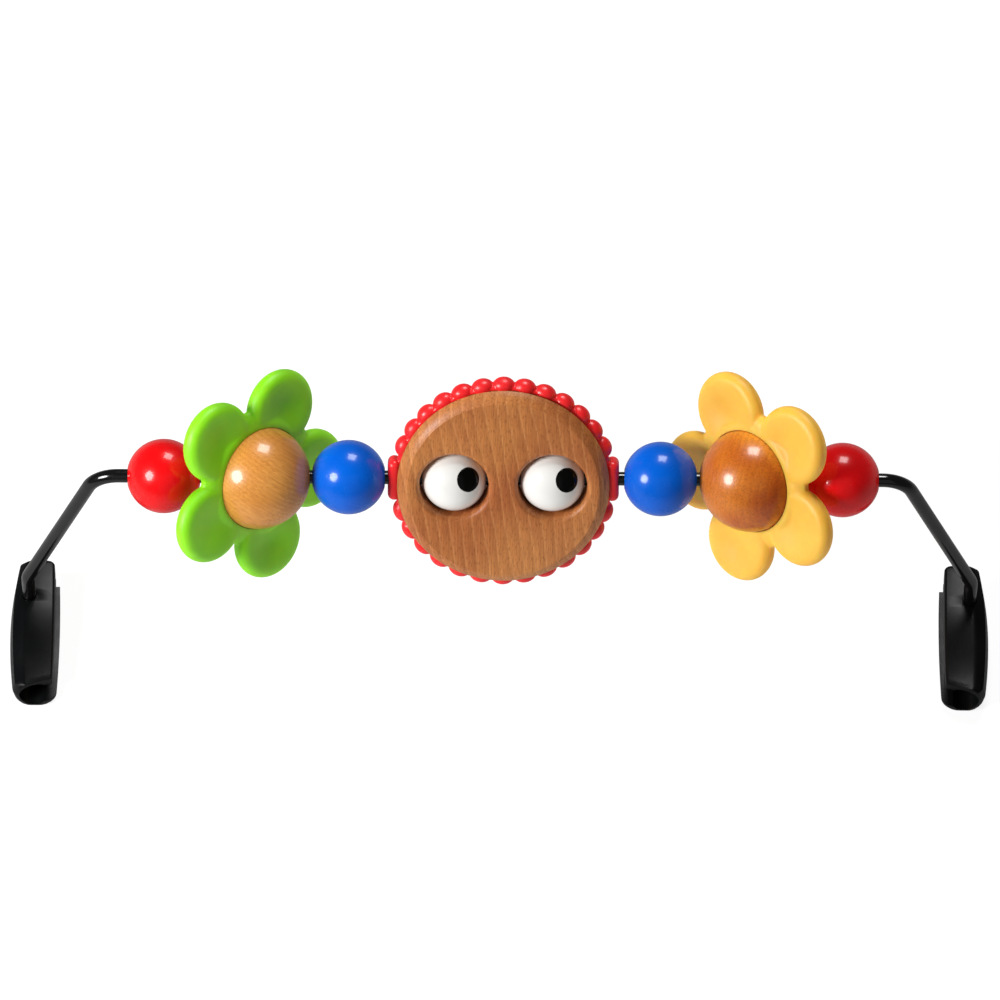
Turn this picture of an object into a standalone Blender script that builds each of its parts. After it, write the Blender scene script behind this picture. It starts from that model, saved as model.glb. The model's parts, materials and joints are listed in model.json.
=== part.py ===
"""A wooden toy bar for a baby bouncer.

A bent steel bar carries four lacquered beads, two flowers and a round wooden face with two
eyeballs, and all of them turn on it. A clip at each end snaps onto the side tube of the bouncer.

Metres, +Z up. The bar runs along X, the clips stand on z = 0 with their channels along Y, and
the face and the flowers look towards -Y and up.
"""

import math

import bmesh
import bpy
from mathutils import Matrix, Vector

# Bar
BAR_DIAMETER = 0.006
BAR_HEIGHT = 0.1236
SHOULDER_RADIUS = 0.014
ANKLE_RADIUS = 0.012
ANKLE_RISE = 0.0155
LEG_SPREAD = 0.0326

# Fits
BORE_CLEARANCE = 0.0006
TOUCH_GAP = 0.0003
BORE_EASE = 0.0005
OVERRUN = 0.004
WELD = 0.00001

# Beads, how far their row has slid to +X, and the gaps it has stopped with, from the face outwards
ROW_SHIFT = 0.00135
ROW_END_PLAY = 0.0023
BEAD_DIAMETER = 0.0325
BALL_DIAMETER = 0.0457
LEFT_GAPS = {"blue": 0.0007, "ball": 0.0003, "red": 0.0019}
RIGHT_GAPS = {"blue": 0.0018, "ball": 0.0005, "red": 0.0005}

# Face
FACE_TILT = math.radians(32)
FACE_RADIUS = 0.0462
FACE_THICKNESS = 0.0186
FACE_DROP = 0.0014
FACE_BEVEL_WIDTH = 0.0055
FACE_BEVEL_DEPTH = 0.004
FACE_BEVEL_SWELL = 0.0005
FACE_BACK_LAND = 0.0042
EYE_SPACING = 0.0428
EYE_DIAMETER = 0.0287
EYE_CLEARANCE = 0.0007
EYE_HOLE_EASE = 0.0026
PUPIL_DIAMETER = 0.0106
PUPIL_DEPTH = 0.0034
PUPIL_FIT = 0.0002
PUPIL_FROM_BAR = math.radians(62.5)
PUPIL_LIFT = math.radians(55)

# Rim band
BAND_WIDTH = 0.0096
BAND_SEAT_DEPTH = 0.001
HOOP_WALL = 0.0012
HOOP_WIDTH = 0.005
BUMP_HEIGHT = 0.004
BUMP_ROOT = 0.0037
BUMP_WIDTH = 0.0082
BUMP_GAP = 0.0003
BUMPS_PER_SIDE = 13
BOSS_HEIGHT = 0.0041
BOSS_LENGTH = 0.0168
BOSS_HALF_ANGLE = math.radians(14)
BOSS_ROUNDING = 0.0022

# Flowers
FLOWER_SLANT = math.radians(48)
FLOWER_LIFT = math.radians(38.3)
PETAL_COUNT = 5
PETAL_TURN = math.radians(-7)
PETAL_RADIUS = 0.0179
PETAL_OFFSET = 0.0310
PETAL_SET_BACK = 0.0010
PETAL_RIM = 0.008
PETAL_WEB = 0.0044
RIDGE_OFFSET = 0.0238
RIDGE_RADIUS = 0.0057
RIDGE_HEIGHT = 0.0036
SEAT_GROOVE_DEPTH = 0.0009
SEAT_GROOVE_WIDTH = 0.003

# Clips
TUBE_BORE = 0.0125
CLIP_LENGTH = 0.064
CLIP_BEHIND_BAR = 0.019
CLIP_FLOOR = 0.002
CLIP_ROOF = 0.002
CLIP_BELLY_WALL = 0.005
CLIP_OUTER_WALL = 0.003
CLIP_INNER_WALL = 0.0027
CLIP_LIP_WALL = 0.0046
CLIP_LIP_START = 0.005
CLIP_BELLY_ROUNDING = 0.006
CLIP_CORNER = 0.005
CLIP_EDGE = 0.0013
CLIP_END_ROUNDING = 0.0016
CLIP_STATIONS = 9
OUTER_SHARES = {"front": 0.8, "back": 0.7}
INNER_SHARES = {"front": 0.92, "back": 0.92}
SLIT_HEIGHT = 0.0078
MOUTH_SKEW = 0.005
SOCKET_DEPTH = 0.0058
SOCKET_FLOOR = 0.0011
SOCKET_OFFSET = 0.0025
SOCKET_CLEARANCE = 0.0003

# Facets round the turned pieces
BAR_SIDES = 12
BEAD_SIDES = 18
BEAD_RINGS = 8
BALL_SIDES = 24
BALL_RINGS = 10
EYE_SIDES = 18
EYE_RINGS = 8
FACE_SIDES = 40
HOLE_SIDES = 20
BORE_SIDES = 12
PETAL_SIDES = 16
BUMP_SIDES = 8
BUMP_RINGS = 6
RIDGE_SIDES = 8
RIDGE_RINGS = 4
CHANNEL_SIDES = 20

# Sizes worked out from those above
BORE_RADIUS = BAR_DIAMETER / 2 + BORE_CLEARANCE
BEAD_RADIUS = BEAD_DIAMETER / 2
BALL_RADIUS = BALL_DIAMETER / 2
EYE_RADIUS = EYE_DIAMETER / 2
FACE_HALF = FACE_THICKNESS / 2
BAND_SEAT_RADIUS = FACE_RADIUS - BAND_SEAT_DEPTH
BAND_INNER = BAND_SEAT_RADIUS + TOUCH_GAP
BOSS_REACH = FACE_RADIUS + BOSS_HEIGHT
CLIP_HEIGHT = CLIP_FLOOR + TUBE_BORE + CLIP_ROOF
CLIP_CROWN = SOCKET_DEPTH + SOCKET_FLOOR - CLIP_ROOF
CHANNEL_HEIGHT = CLIP_FLOOR + TUBE_BORE / 2
BELLY_REACH = TUBE_BORE / 2 + CLIP_BELLY_WALL
OUTER_REACH = TUBE_BORE / 2 + CLIP_OUTER_WALL
INNER_REACH = TUBE_BORE / 2 + CLIP_INNER_WALL
LIP_REACH = TUBE_BORE / 2 + CLIP_LIP_WALL
CLIP_TOP = CLIP_HEIGHT + CLIP_CROWN
SOCKET_BOTTOM = CLIP_TOP - SOCKET_DEPTH

RED = (251, 32, 40)
BLUE = (0, 100, 226)
GREEN = (120, 190, 38)
YELLOW = (254, 201, 84)
BEECH = (174, 110, 65)
MAPLE = (216, 160, 98)
CHERRY = (184, 108, 55)
WHITE = (246, 245, 242)
BLACK = (9, 8, 7)
SATIN_BLACK = (24, 25, 26)
BAR_BLACK = (20, 20, 21)


def clear_scene():
    for obj in list(bpy.data.objects):
        bpy.data.objects.remove(obj, do_unlink=True)


def new_collection(name):
    collection = bpy.data.collections.new(name)
    bpy.context.scene.collection.children.link(collection)
    return collection


def finish(name, colour, roughness, metallic=0.0):
    """A plain material from an sRGB colour of 0 to 255."""
    material = bpy.data.materials.new(name)
    material.use_nodes = True
    shader = material.node_tree.nodes["Principled BSDF"]
    linear = [(channel / 255) ** 2.2 for channel in colour]
    shader.inputs["Base Color"].default_value = (*linear, 1)
    shader.inputs["Roughness"].default_value = roughness
    shader.inputs["Metallic"].default_value = metallic
    return material


def place(obj, collection, parent=None, matrix=None, material=None):
    """Links an object and sets where it is under its parent."""
    collection.objects.link(obj)
    obj.parent = parent
    obj.matrix_basis = matrix or Matrix()
    if material:
        obj.data.materials.append(material)
    return obj


def helper(obj, parent=None, matrix=None):
    """An object that only cuts or joins another, so it isn't part of the toy."""
    place(obj, cutters, parent, matrix)
    obj.hide_render = True
    obj.display_type = "WIRE"
    return obj


def combine(obj, other, operation):
    boolean = obj.modifiers.new(other.name, "BOOLEAN")
    boolean.operation = operation
    boolean.object = other


def cut(obj, *others):
    for other in others:
        combine(obj, other, "DIFFERENCE")


def join(obj, *others):
    for other in others:
        combine(obj, other, "UNION")


def turned(name, profile, sides, closed=False):
    """A piece turned about its own Z axis from (radius, height) points, down its outer side."""
    mesh = bpy.data.meshes.new(name)
    edges = [(index, index + 1) for index in range(len(profile) - 1)]
    if closed:
        edges.append((len(profile) - 1, 0))
    mesh.from_pydata([(radius, 0, height) for radius, height in profile], edges, [])
    obj = bpy.data.objects.new(name, mesh)
    screw = obj.modifiers.new("turn", "SCREW")
    screw.steps = screw.render_steps = sides
    screw.use_merge_vertices = True
    screw.merge_threshold = WELD
    screw.use_smooth_shade = True
    return obj


def rod(name, radius, low, high, sides):
    """A plain cylinder on its own Z axis from height low to height high."""
    bm = bmesh.new()
    bmesh.ops.create_cone(
        bm, cap_ends=True, segments=sides, radius1=radius, radius2=radius, depth=high - low
    )
    bmesh.ops.translate(bm, vec=(0, 0, (high + low) / 2), verts=bm.verts)
    return from_bmesh(name, bm)


def block(name, low, high):
    """A box between two opposite corners."""
    low, high = Vector(low), Vector(high)
    bm = bmesh.new()
    bmesh.ops.create_cube(bm, size=1)
    bmesh.ops.scale(bm, vec=high - low, verts=bm.verts)
    bmesh.ops.translate(bm, vec=(high + low) / 2, verts=bm.verts)
    return from_bmesh(name, bm)


def from_bmesh(name, bm):
    mesh = bpy.data.meshes.new(name)
    bm.to_mesh(mesh)
    bm.free()
    return bpy.data.objects.new(name, mesh)


def arc(centre, radius, start, stop, steps):
    """(x, y) points round a centre from one angle to another, both ends included."""
    turns = [start + (stop - start) * step / steps for step in range(steps + 1)]
    return [
        (centre[0] + radius * math.cos(turn), centre[1] + radius * math.sin(turn))
        for turn in turns
    ]


def filleted(corners, closed=False):
    """A path through (corner, radius, steps) with each corner rounded to an arc."""
    points = []
    for index, (corner, radius, steps) in enumerate(corners):
        if not radius or (not closed and index in (0, len(corners) - 1)):
            points.append(corner)
            continue
        back = (corners[index - 1][0] - corner).normalized()
        ahead = (corners[(index + 1) % len(corners)][0] - corner).normalized()
        half = back.angle(ahead) / 2
        centre = corner + (back + ahead).normalized() * radius / math.sin(half)
        spoke = corner + back * radius / math.tan(half) - centre
        turn = math.pi - 2 * half
        axis = ahead.cross(back)
        points += [
            centre + Matrix.Rotation(turn * step / steps, 3, axis) @ spoke
            for step in range(steps + 1)
        ]
    return points


def bored_ball(radius, rings):
    """The profile of a ball with a bore along its axis and an eased edge round each mouth."""
    start = math.asin((BORE_RADIUS + BORE_EASE) / radius)
    outer = [
        (radius * math.sin(angle), radius * math.cos(angle))
        for angle in (start + (math.pi - 2 * start) * ring / rings for ring in range(rings + 1))
    ]
    mouth = radius * math.cos(start) - BORE_EASE
    return [(BORE_RADIUS, mouth), *outer, (BORE_RADIUS, -mouth)]


def along_bar():
    """Turns a piece's own Z axis to the bar's."""
    return Matrix.Rotation(math.pi / 2, 4, "Y")


def facing(direction, across):
    """Turns Z to a direction and X to one that is square to it."""
    direction, across = Vector(direction).normalized(), Vector(across).normalized()
    return Matrix((across, direction.cross(across), direction)).transposed().to_4x4()


def ring_axis(side):
    """The way a flower's petal ring looks before the flower is turned on the bar."""
    return Vector((-side * math.cos(FLOWER_SLANT), -math.sin(FLOWER_SLANT), 0))


def ring_uphill(side):
    """The way in the petal ring's plane that runs furthest along the bar."""
    return Vector((-side * math.sin(FLOWER_SLANT), math.cos(FLOWER_SLANT), 0))


def petal_directions(side, past=0):
    """Where each petal points before the flower is turned on the bar, or a share of a petal past it."""
    for petal in range(PETAL_COUNT):
        angle = PETAL_TURN + 2 * math.pi * (petal + past) / PETAL_COUNT
        yield ring_uphill(side) * math.cos(angle) + Vector((0, 0, 1)) * math.sin(angle)


def flower_reach_back():
    """How far behind the bar the rearmost petal reaches."""
    lift = Matrix.Rotation(-FLOWER_LIFT, 3, "X")
    axis_back = (lift @ ring_axis(1)).y
    rim = PETAL_RIM / 2
    petal = (PETAL_RADIUS - rim) * math.sqrt(1 - axis_back**2) + rim
    furthest = max((lift @ way).y * PETAL_OFFSET for way in petal_directions(1))
    return furthest + petal - axis_back * PETAL_SET_BACK


# The bar stands where the clips' front and the rearmost petal are as far from y = 0.
BAR_Y = (CLIP_LENGTH - CLIP_BEHIND_BAR - flower_reach_back()) / 2


def row_places(gaps):
    """Distances from the face's centre to the blue bead, the flower's ball and the red bead."""
    blue = BOSS_REACH + gaps["blue"] + BEAD_RADIUS
    ball = blue + BEAD_RADIUS + gaps["ball"] + BALL_RADIUS
    red = ball + BALL_RADIUS + gaps["red"] + BEAD_RADIUS
    return {"blue": blue, "ball": ball, "red": red}


PLACES = {-1: row_places(LEFT_GAPS), 1: row_places(RIGHT_GAPS)}
ROW_HALF = max(places["red"] for places in PLACES.values()) + BEAD_RADIUS
ANKLE_HEIGHT = CLIP_TOP + ANKLE_RISE
LEG_SLOPE = math.atan2(BAR_HEIGHT - ANKLE_HEIGHT, LEG_SPREAD)
SHOULDER_X = ROW_HALF + ROW_END_PLAY + SHOULDER_RADIUS * math.tan(LEG_SLOPE / 2)
SOCKET_X = SHOULDER_X + LEG_SPREAD


def spindle(name, x, lift):
    """An empty on the bar's axis, x from the row's middle, that a turning body hangs from."""
    empty = bpy.data.objects.new(name, None)
    place(empty, toy, matrix=Matrix.Translation((x + ROW_SHIFT, BAR_Y, BAR_HEIGHT)))
    empty.rotation_euler.x = -lift
    empty.empty_display_size = BAR_DIAMETER
    return empty


def make_bar():
    """The bar's path runs from the left socket over both shoulders to the right socket."""
    steps_at_shoulder, steps_at_ankle = 8, 4
    foot = SOCKET_BOTTOM + SOCKET_CLEARANCE
    corners = []
    for side in (-1, 1):
        leg = [
            (Vector((side * SOCKET_X, 0, foot)), 0, 0),
            (Vector((side * SOCKET_X, 0, ANKLE_HEIGHT)), ANKLE_RADIUS, steps_at_ankle),
            (Vector((side * SHOULDER_X, 0, BAR_HEIGHT)), SHOULDER_RADIUS, steps_at_shoulder),
        ]
        corners += leg if side < 0 else reversed(leg)
    path = filleted(corners)
    curve = bpy.data.curves.new("steel_bar", "CURVE")
    curve.dimensions = "3D"
    curve.bevel_depth = BAR_DIAMETER / 2
    curve.bevel_resolution = (BAR_SIDES - 4) // 2
    curve.use_fill_caps = True
    spline = curve.splines.new("POLY")
    spline.points.add(len(path) - 1)
    for point, position in zip(spline.points, path):
        point.co = (*position, 1)
    bar = bpy.data.objects.new("steel_bar", curve)
    place(bar, toy, matrix=Matrix.Translation((0, BAR_Y, 0)), material=finish("bar", BAR_BLACK, 0.25))


def make_bead(name, x, material):
    hub = spindle(f"{name}_spin", x, 0)
    bead = turned(name, bored_ball(BEAD_RADIUS, BEAD_RINGS), BEAD_SIDES, closed=True)
    place(bead, toy, hub, along_bar(), material)


def petal_profile():
    """A dished round petal with a full round rim, thinnest at its middle."""
    rim, web = PETAL_RIM / 2, PETAL_WEB / 2
    crest = PETAL_RADIUS - rim
    dish_shares = (0, 0.55)
    dish = [
        (crest * share, web + (rim - web) * (1 - math.cos(math.pi * share)) / 2)
        for share in dish_shares
    ]
    edge = arc((crest, 0), rim, math.pi / 2, -math.pi / 2, 4)
    return [*dish, *edge, *((radius, -height) for radius, height in reversed(dish))]


def seat_profile():
    """What a petal ring's hole clears: the ball, with its groove round the equator."""
    # The flats between its corners are what has to clear the ball.
    radius = (BALL_RADIUS + TOUCH_GAP) / math.cos(math.pi / BALL_SIDES)
    groove = BALL_RADIUS - SEAT_GROOVE_DEPTH + TOUCH_GAP
    tongue = SEAT_GROOVE_WIDTH / 2 - TOUCH_GAP
    profile = []
    for end in (1, -1):
        height = end * tongue - PETAL_SET_BACK
        stop = math.acos(end * height / radius)
        angles = [stop * ring / BALL_RINGS for ring in range(BALL_RINGS + 1)]
        cap = [(radius * math.sin(angle), end * radius * math.cos(angle)) for angle in angles]
        cap.append((groove, height))
        profile += cap if end > 0 else reversed(cap)
    return profile


def make_flower(side, x, colour, wood):
    """A wooden ball in a soft five-petalled ring that sits slanted in a groove round it."""
    where = "left" if side < 0 else "right"
    hub = spindle(f"flower_{where}_spin", x, FLOWER_LIFT)
    ring = facing(ring_axis(side), ring_uphill(side))
    set_back = Matrix.Translation(ring_axis(side) * -PETAL_SET_BACK) @ ring

    ball = turned(f"flower_ball_{where}", bored_ball(BALL_RADIUS, BALL_RINGS), BALL_SIDES, True)
    place(ball, toy, hub, along_bar(), finish(f"wood_{where}", wood, 0.35))
    groove_floor, groove_half = BALL_RADIUS - SEAT_GROOVE_DEPTH, SEAT_GROOVE_WIDTH / 2
    beyond = BALL_RADIUS + OVERRUN
    groove_profile = [
        (beyond, groove_half),
        (beyond, -groove_half),
        (groove_floor, -groove_half),
        (groove_floor, groove_half),
    ]
    groove = turned(f"groove_{where}", groove_profile, BALL_SIDES, closed=True)
    cut(ball, helper(groove, hub, set_back))

    inside_web = PETAL_WEB / 3
    hub_profile = [
        (0, inside_web),
        (PETAL_OFFSET, inside_web),
        (PETAL_OFFSET, -inside_web),
        (0, -inside_web),
    ]
    petals = turned(f"petals_{where}", hub_profile, PETAL_SIDES)
    place(petals, toy, hub, set_back, finish(f"petal_{where}", colour, 0.45))
    for number, way in enumerate(petal_directions(side), 1):
        petal = turned(f"petal_{where}_{number}", petal_profile(), PETAL_SIDES)
        spot = way * PETAL_OFFSET - ring_axis(side) * PETAL_SET_BACK
        matrix = Matrix.Translation(spot) @ facing(ring_axis(side), way)
        join(petals, helper(petal, hub, matrix))
    join(petals, helper(make_ridges(side), hub, Matrix.Translation(-ring_axis(side) * PETAL_SET_BACK)))
    seat = turned(f"petal_seat_{where}", seat_profile(), BALL_SIDES)
    cut(petals, helper(seat, hub, ring))


def make_ridges(side):
    """The soft ridges that two petals' rims merge into between them, beside the ball."""
    bm = bmesh.new()
    shape = Matrix.Diagonal((RIDGE_RADIUS, RIDGE_RADIUS, RIDGE_HEIGHT, 1))
    for way in petal_directions(side, 1 / 2):
        spot = Matrix.Translation(way * RIDGE_OFFSET) @ facing(ring_axis(side), way) @ shape
        bmesh.ops.create_uvsphere(
            bm, u_segments=RIDGE_SIDES, v_segments=RIDGE_RINGS, radius=1, matrix=spot
        )
    return from_bmesh("petal_ridges", bm)


def face_profile():
    """The wooden face: flat, with a slightly swollen bevel and a step round it for the band."""
    flat_radius = FACE_RADIUS - FACE_BEVEL_WIDTH
    land = FACE_HALF - FACE_BEVEL_DEPTH
    seat_half = BAND_WIDTH / 2 + TOUCH_GAP
    swell_shares = (0.33, 0.67)
    bevel = [
        (
            flat_radius + FACE_BEVEL_WIDTH * share + FACE_BEVEL_SWELL,
            FACE_HALF - FACE_BEVEL_DEPTH * share + FACE_BEVEL_SWELL,
        )
        for share in swell_shares
    ]
    return [
        (0, FACE_HALF),
        (flat_radius, FACE_HALF),
        *bevel,
        (FACE_RADIUS, land),
        (FACE_RADIUS, seat_half),
        (BAND_SEAT_RADIUS, seat_half),
        (BAND_SEAT_RADIUS, -FACE_BACK_LAND),
        (flat_radius, -FACE_HALF),
        (0, -FACE_HALF),
    ]


def eye_hole_profile():
    """A through hole for an eyeball with a rounded edge at each face."""
    radius = EYE_RADIUS + EYE_CLEARANCE
    # The rounding runs a little past the face, so that it leaves no feather edge.
    past = TOUCH_GAP / 2
    centre = (radius + EYE_HOLE_EASE, FACE_HALF + past - EYE_HOLE_EASE)
    ease = arc(centre, EYE_HOLE_EASE, math.pi / 2, math.pi, 3)
    above = FACE_HALF + OVERRUN
    top = [(0, above), (radius + EYE_HOLE_EASE, above), *ease]
    return [*top, *((radius, -height) for radius, height in reversed(top))]


def make_face():
    """The wooden disc and the soft red band round its rim, which turn together."""
    hub = spindle("face_spin", 0, FACE_TILT)
    outward = facing((0, -1, 0), (1, 0, 0))
    dropped = Matrix.Translation((0, 0, -FACE_DROP)) @ outward
    disc = turned("face_disc", face_profile(), FACE_SIDES)
    place(disc, toy, hub, dropped, finish("face_wood", BEECH, 0.4))
    for side in (-1, 1):
        hole = turned(f"eye_hole_{side}", eye_hole_profile(), HOLE_SIDES)
        spot = Matrix.Translation((side * EYE_SPACING / 2, 0, 0)) @ outward
        cut(disc, helper(hole, hub, spot))
    bore = rod("face_bore", BORE_RADIUS, -BOSS_REACH - OVERRUN, BOSS_REACH + OVERRUN, BORE_SIDES)
    helper(bore, hub, along_bar())
    cut(disc, bore)
    make_band(hub, outward, dropped, bore)


def bump_places():
    """The angle and pitch of each bead of the band, which run from boss to boss above and below."""
    boss_rise = math.asin(FACE_DROP / FACE_RADIUS)
    for start, first in ((0, BOSS_HALF_ANGLE + boss_rise), (math.pi, BOSS_HALF_ANGLE - boss_rise)):
        pitch = (math.pi - 2 * first) / BUMPS_PER_SIDE
        for bump in range(BUMPS_PER_SIDE):
            yield start + first + pitch * (bump + 1 / 2), pitch


def make_band(hub, outward, dropped, bore):
    """A soft hoop with a row of lemon-shaped bumps and a pad at each side for the bar's bore."""
    half, hoop = BAND_WIDTH / 2, HOOP_WIDTH / 2
    skin = BAND_INNER + HOOP_WALL
    ease = HOOP_WALL / 2
    edge = [(skin - ease, hoop), (skin, hoop - ease)]
    band_profile = [
        (0, hoop),
        *edge,
        *((radius, -height) for radius, height in reversed(edge)),
        (0, -hoop),
    ]
    band = turned("rim_band", band_profile, FACE_SIDES)
    place(band, toy, hub, dropped, finish("band_red", RED, 0.3))

    centre_radius = FACE_RADIUS + BUMP_HEIGHT - BUMP_ROOT
    bm = bmesh.new()
    for angle, pitch in bump_places():
        width = centre_radius * math.sin(pitch / 2) - BUMP_GAP / 2
        turn = Matrix.Rotation(angle, 4, "Z")
        shape = Matrix.Diagonal((BUMP_ROOT, width, BUMP_WIDTH / 2, 1))
        spot = turn @ Matrix.Translation((centre_radius, 0, 0)) @ shape
        bmesh.ops.create_uvsphere(
            bm, u_segments=BUMP_SIDES, v_segments=BUMP_RINGS, radius=1, matrix=spot
        )
    join(band, helper(from_bmesh("bumps", bm), hub, dropped))

    for side in (-1, 1):
        reach = BOSS_LENGTH / 2
        ends = sorted((side * BAND_SEAT_RADIUS * math.cos(BOSS_HALF_ANGLE), side * BOSS_REACH))
        boss = block(f"boss_{side}", (ends[0], -reach, -half), (ends[1], reach, half))
        rounding = boss.modifiers.new("rounding", "BEVEL")
        rounding.width = BOSS_ROUNDING
        rounding.segments = 2
        join(band, helper(boss, hub, outward))

    seat = rod("band_seat", BAND_INNER, -half - OVERRUN, half + OVERRUN, FACE_SIDES)
    cut(band, helper(seat, hub, dropped), bore)


def make_eye(side):
    """A white eyeball on the bar with a black pupil let into it."""
    where = "left" if side < 0 else "right"
    hub = spindle(f"eye_{where}_spin", side * EYE_SPACING / 2, PUPIL_LIFT)
    ball = turned(f"eye_{where}", bored_ball(EYE_RADIUS, EYE_RINGS), EYE_SIDES, closed=True)
    place(ball, toy, hub, along_bar(), finish(f"eye_white_{where}", WHITE, 0.2))

    look = (math.cos(PUPIL_FROM_BAR), -math.sin(PUPIL_FROM_BAR), 0)
    aim = facing(look, (0, 0, 1))
    radius = PUPIL_DIAMETER / 2
    edge = math.asin(radius / EYE_RADIUS)
    dome_steps = 3
    dome = [
        (EYE_RADIUS * math.sin(angle), EYE_RADIUS * math.cos(angle))
        for angle in (edge * step / dome_steps for step in range(dome_steps + 1))
    ]
    floor = EYE_RADIUS - PUPIL_DEPTH
    pupil = turned(f"pupil_{where}", [*dome, (radius, floor), (0, floor)], HOLE_SIDES)
    place(pupil, toy, hub, aim, finish(f"pupil_{where}", BLACK, 0.15))
    recess = rod(
        f"pupil_recess_{where}",
        radius + PUPIL_FIT,
        floor - TOUCH_GAP,
        EYE_RADIUS + OVERRUN,
        HOLE_SIDES,
    )
    cut(ball, helper(recess, hub, aim))


def clip_section(side):
    """The clip across its channel, drawn inside its end rounding, outer side towards +x * side."""
    inset = CLIP_END_ROUNDING
    low, middle, high = inset, CHANNEL_HEIGHT, CLIP_HEIGHT - inset
    corners = [
        (inset - LIP_REACH, low, CLIP_CORNER, 3),
        (OUTER_REACH - inset, low, CLIP_CORNER, 3),
        (BELLY_REACH - inset, middle, CLIP_BELLY_ROUNDING, 2),
        (OUTER_REACH - inset, high, CLIP_EDGE, 1),
        (inset - INNER_REACH, high, CLIP_EDGE, 1),
        (inset - INNER_REACH, middle, 0, 0),
        (inset - LIP_REACH, middle, 0, 0),
    ]
    rounded = [
        (Vector((side * x, y, 0)), max(radius - inset, 0), steps) for x, y, radius, steps in corners
    ]
    return filleted(rounded, closed=True)


def solid_from_outline(name, outline, length, rounding):
    """A closed outline in XY drawn out along Z, with rounded ends, as a welded mesh."""
    curve = bpy.data.curves.new(name, "CURVE")
    curve.dimensions = "2D"
    curve.fill_mode = "BOTH"
    curve.extrude = length / 2 - rounding
    curve.bevel_depth = rounding
    curve.bevel_resolution = 1
    spline = curve.splines.new("POLY")
    spline.points.add(len(outline) - 1)
    for point, position in zip(spline.points, outline):
        point.co = (*position, 1)
    spline.use_cyclic_u = True
    drawn = bpy.data.objects.new(name, curve)
    bpy.context.scene.collection.objects.link(drawn)
    bpy.context.view_layer.update()
    graph = bpy.context.evaluated_depsgraph_get()
    bm = bmesh.new()
    mesh = bpy.data.meshes.new_from_object(drawn.evaluated_get(graph))
    bm.from_mesh(mesh)
    bpy.data.objects.remove(drawn, do_unlink=True)
    bpy.data.meshes.remove(mesh)
    bmesh.ops.remove_doubles(bm, verts=bm.verts, dist=WELD)
    bmesh.ops.recalc_face_normals(bm, faces=bm.faces)
    return bm


def clip_share(outer, behind_bar):
    """The share of its full width that one side of the clip has at a place along it."""
    shares = OUTER_SHARES if outer else INNER_SHARES
    middle = CLIP_BEHIND_BAR - CLIP_LENGTH / 2
    along = 2 * (behind_bar - middle) / CLIP_LENGTH
    lost = 1 - shares["back" if along > 0 else "front"]
    return 1 - lost * along**2


def clip_crown(behind_bar):
    """How much the roof rises over the socket, fading slowly behind it and fully at the front."""
    fade = CLIP_LENGTH - CLIP_BEHIND_BAR
    share = min(behind_bar / -fade, 1) if behind_bar < 0 else behind_bar / fade * 3 / 4
    return CLIP_CROWN * math.cos(math.pi / 2 * share) ** 2


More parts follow.
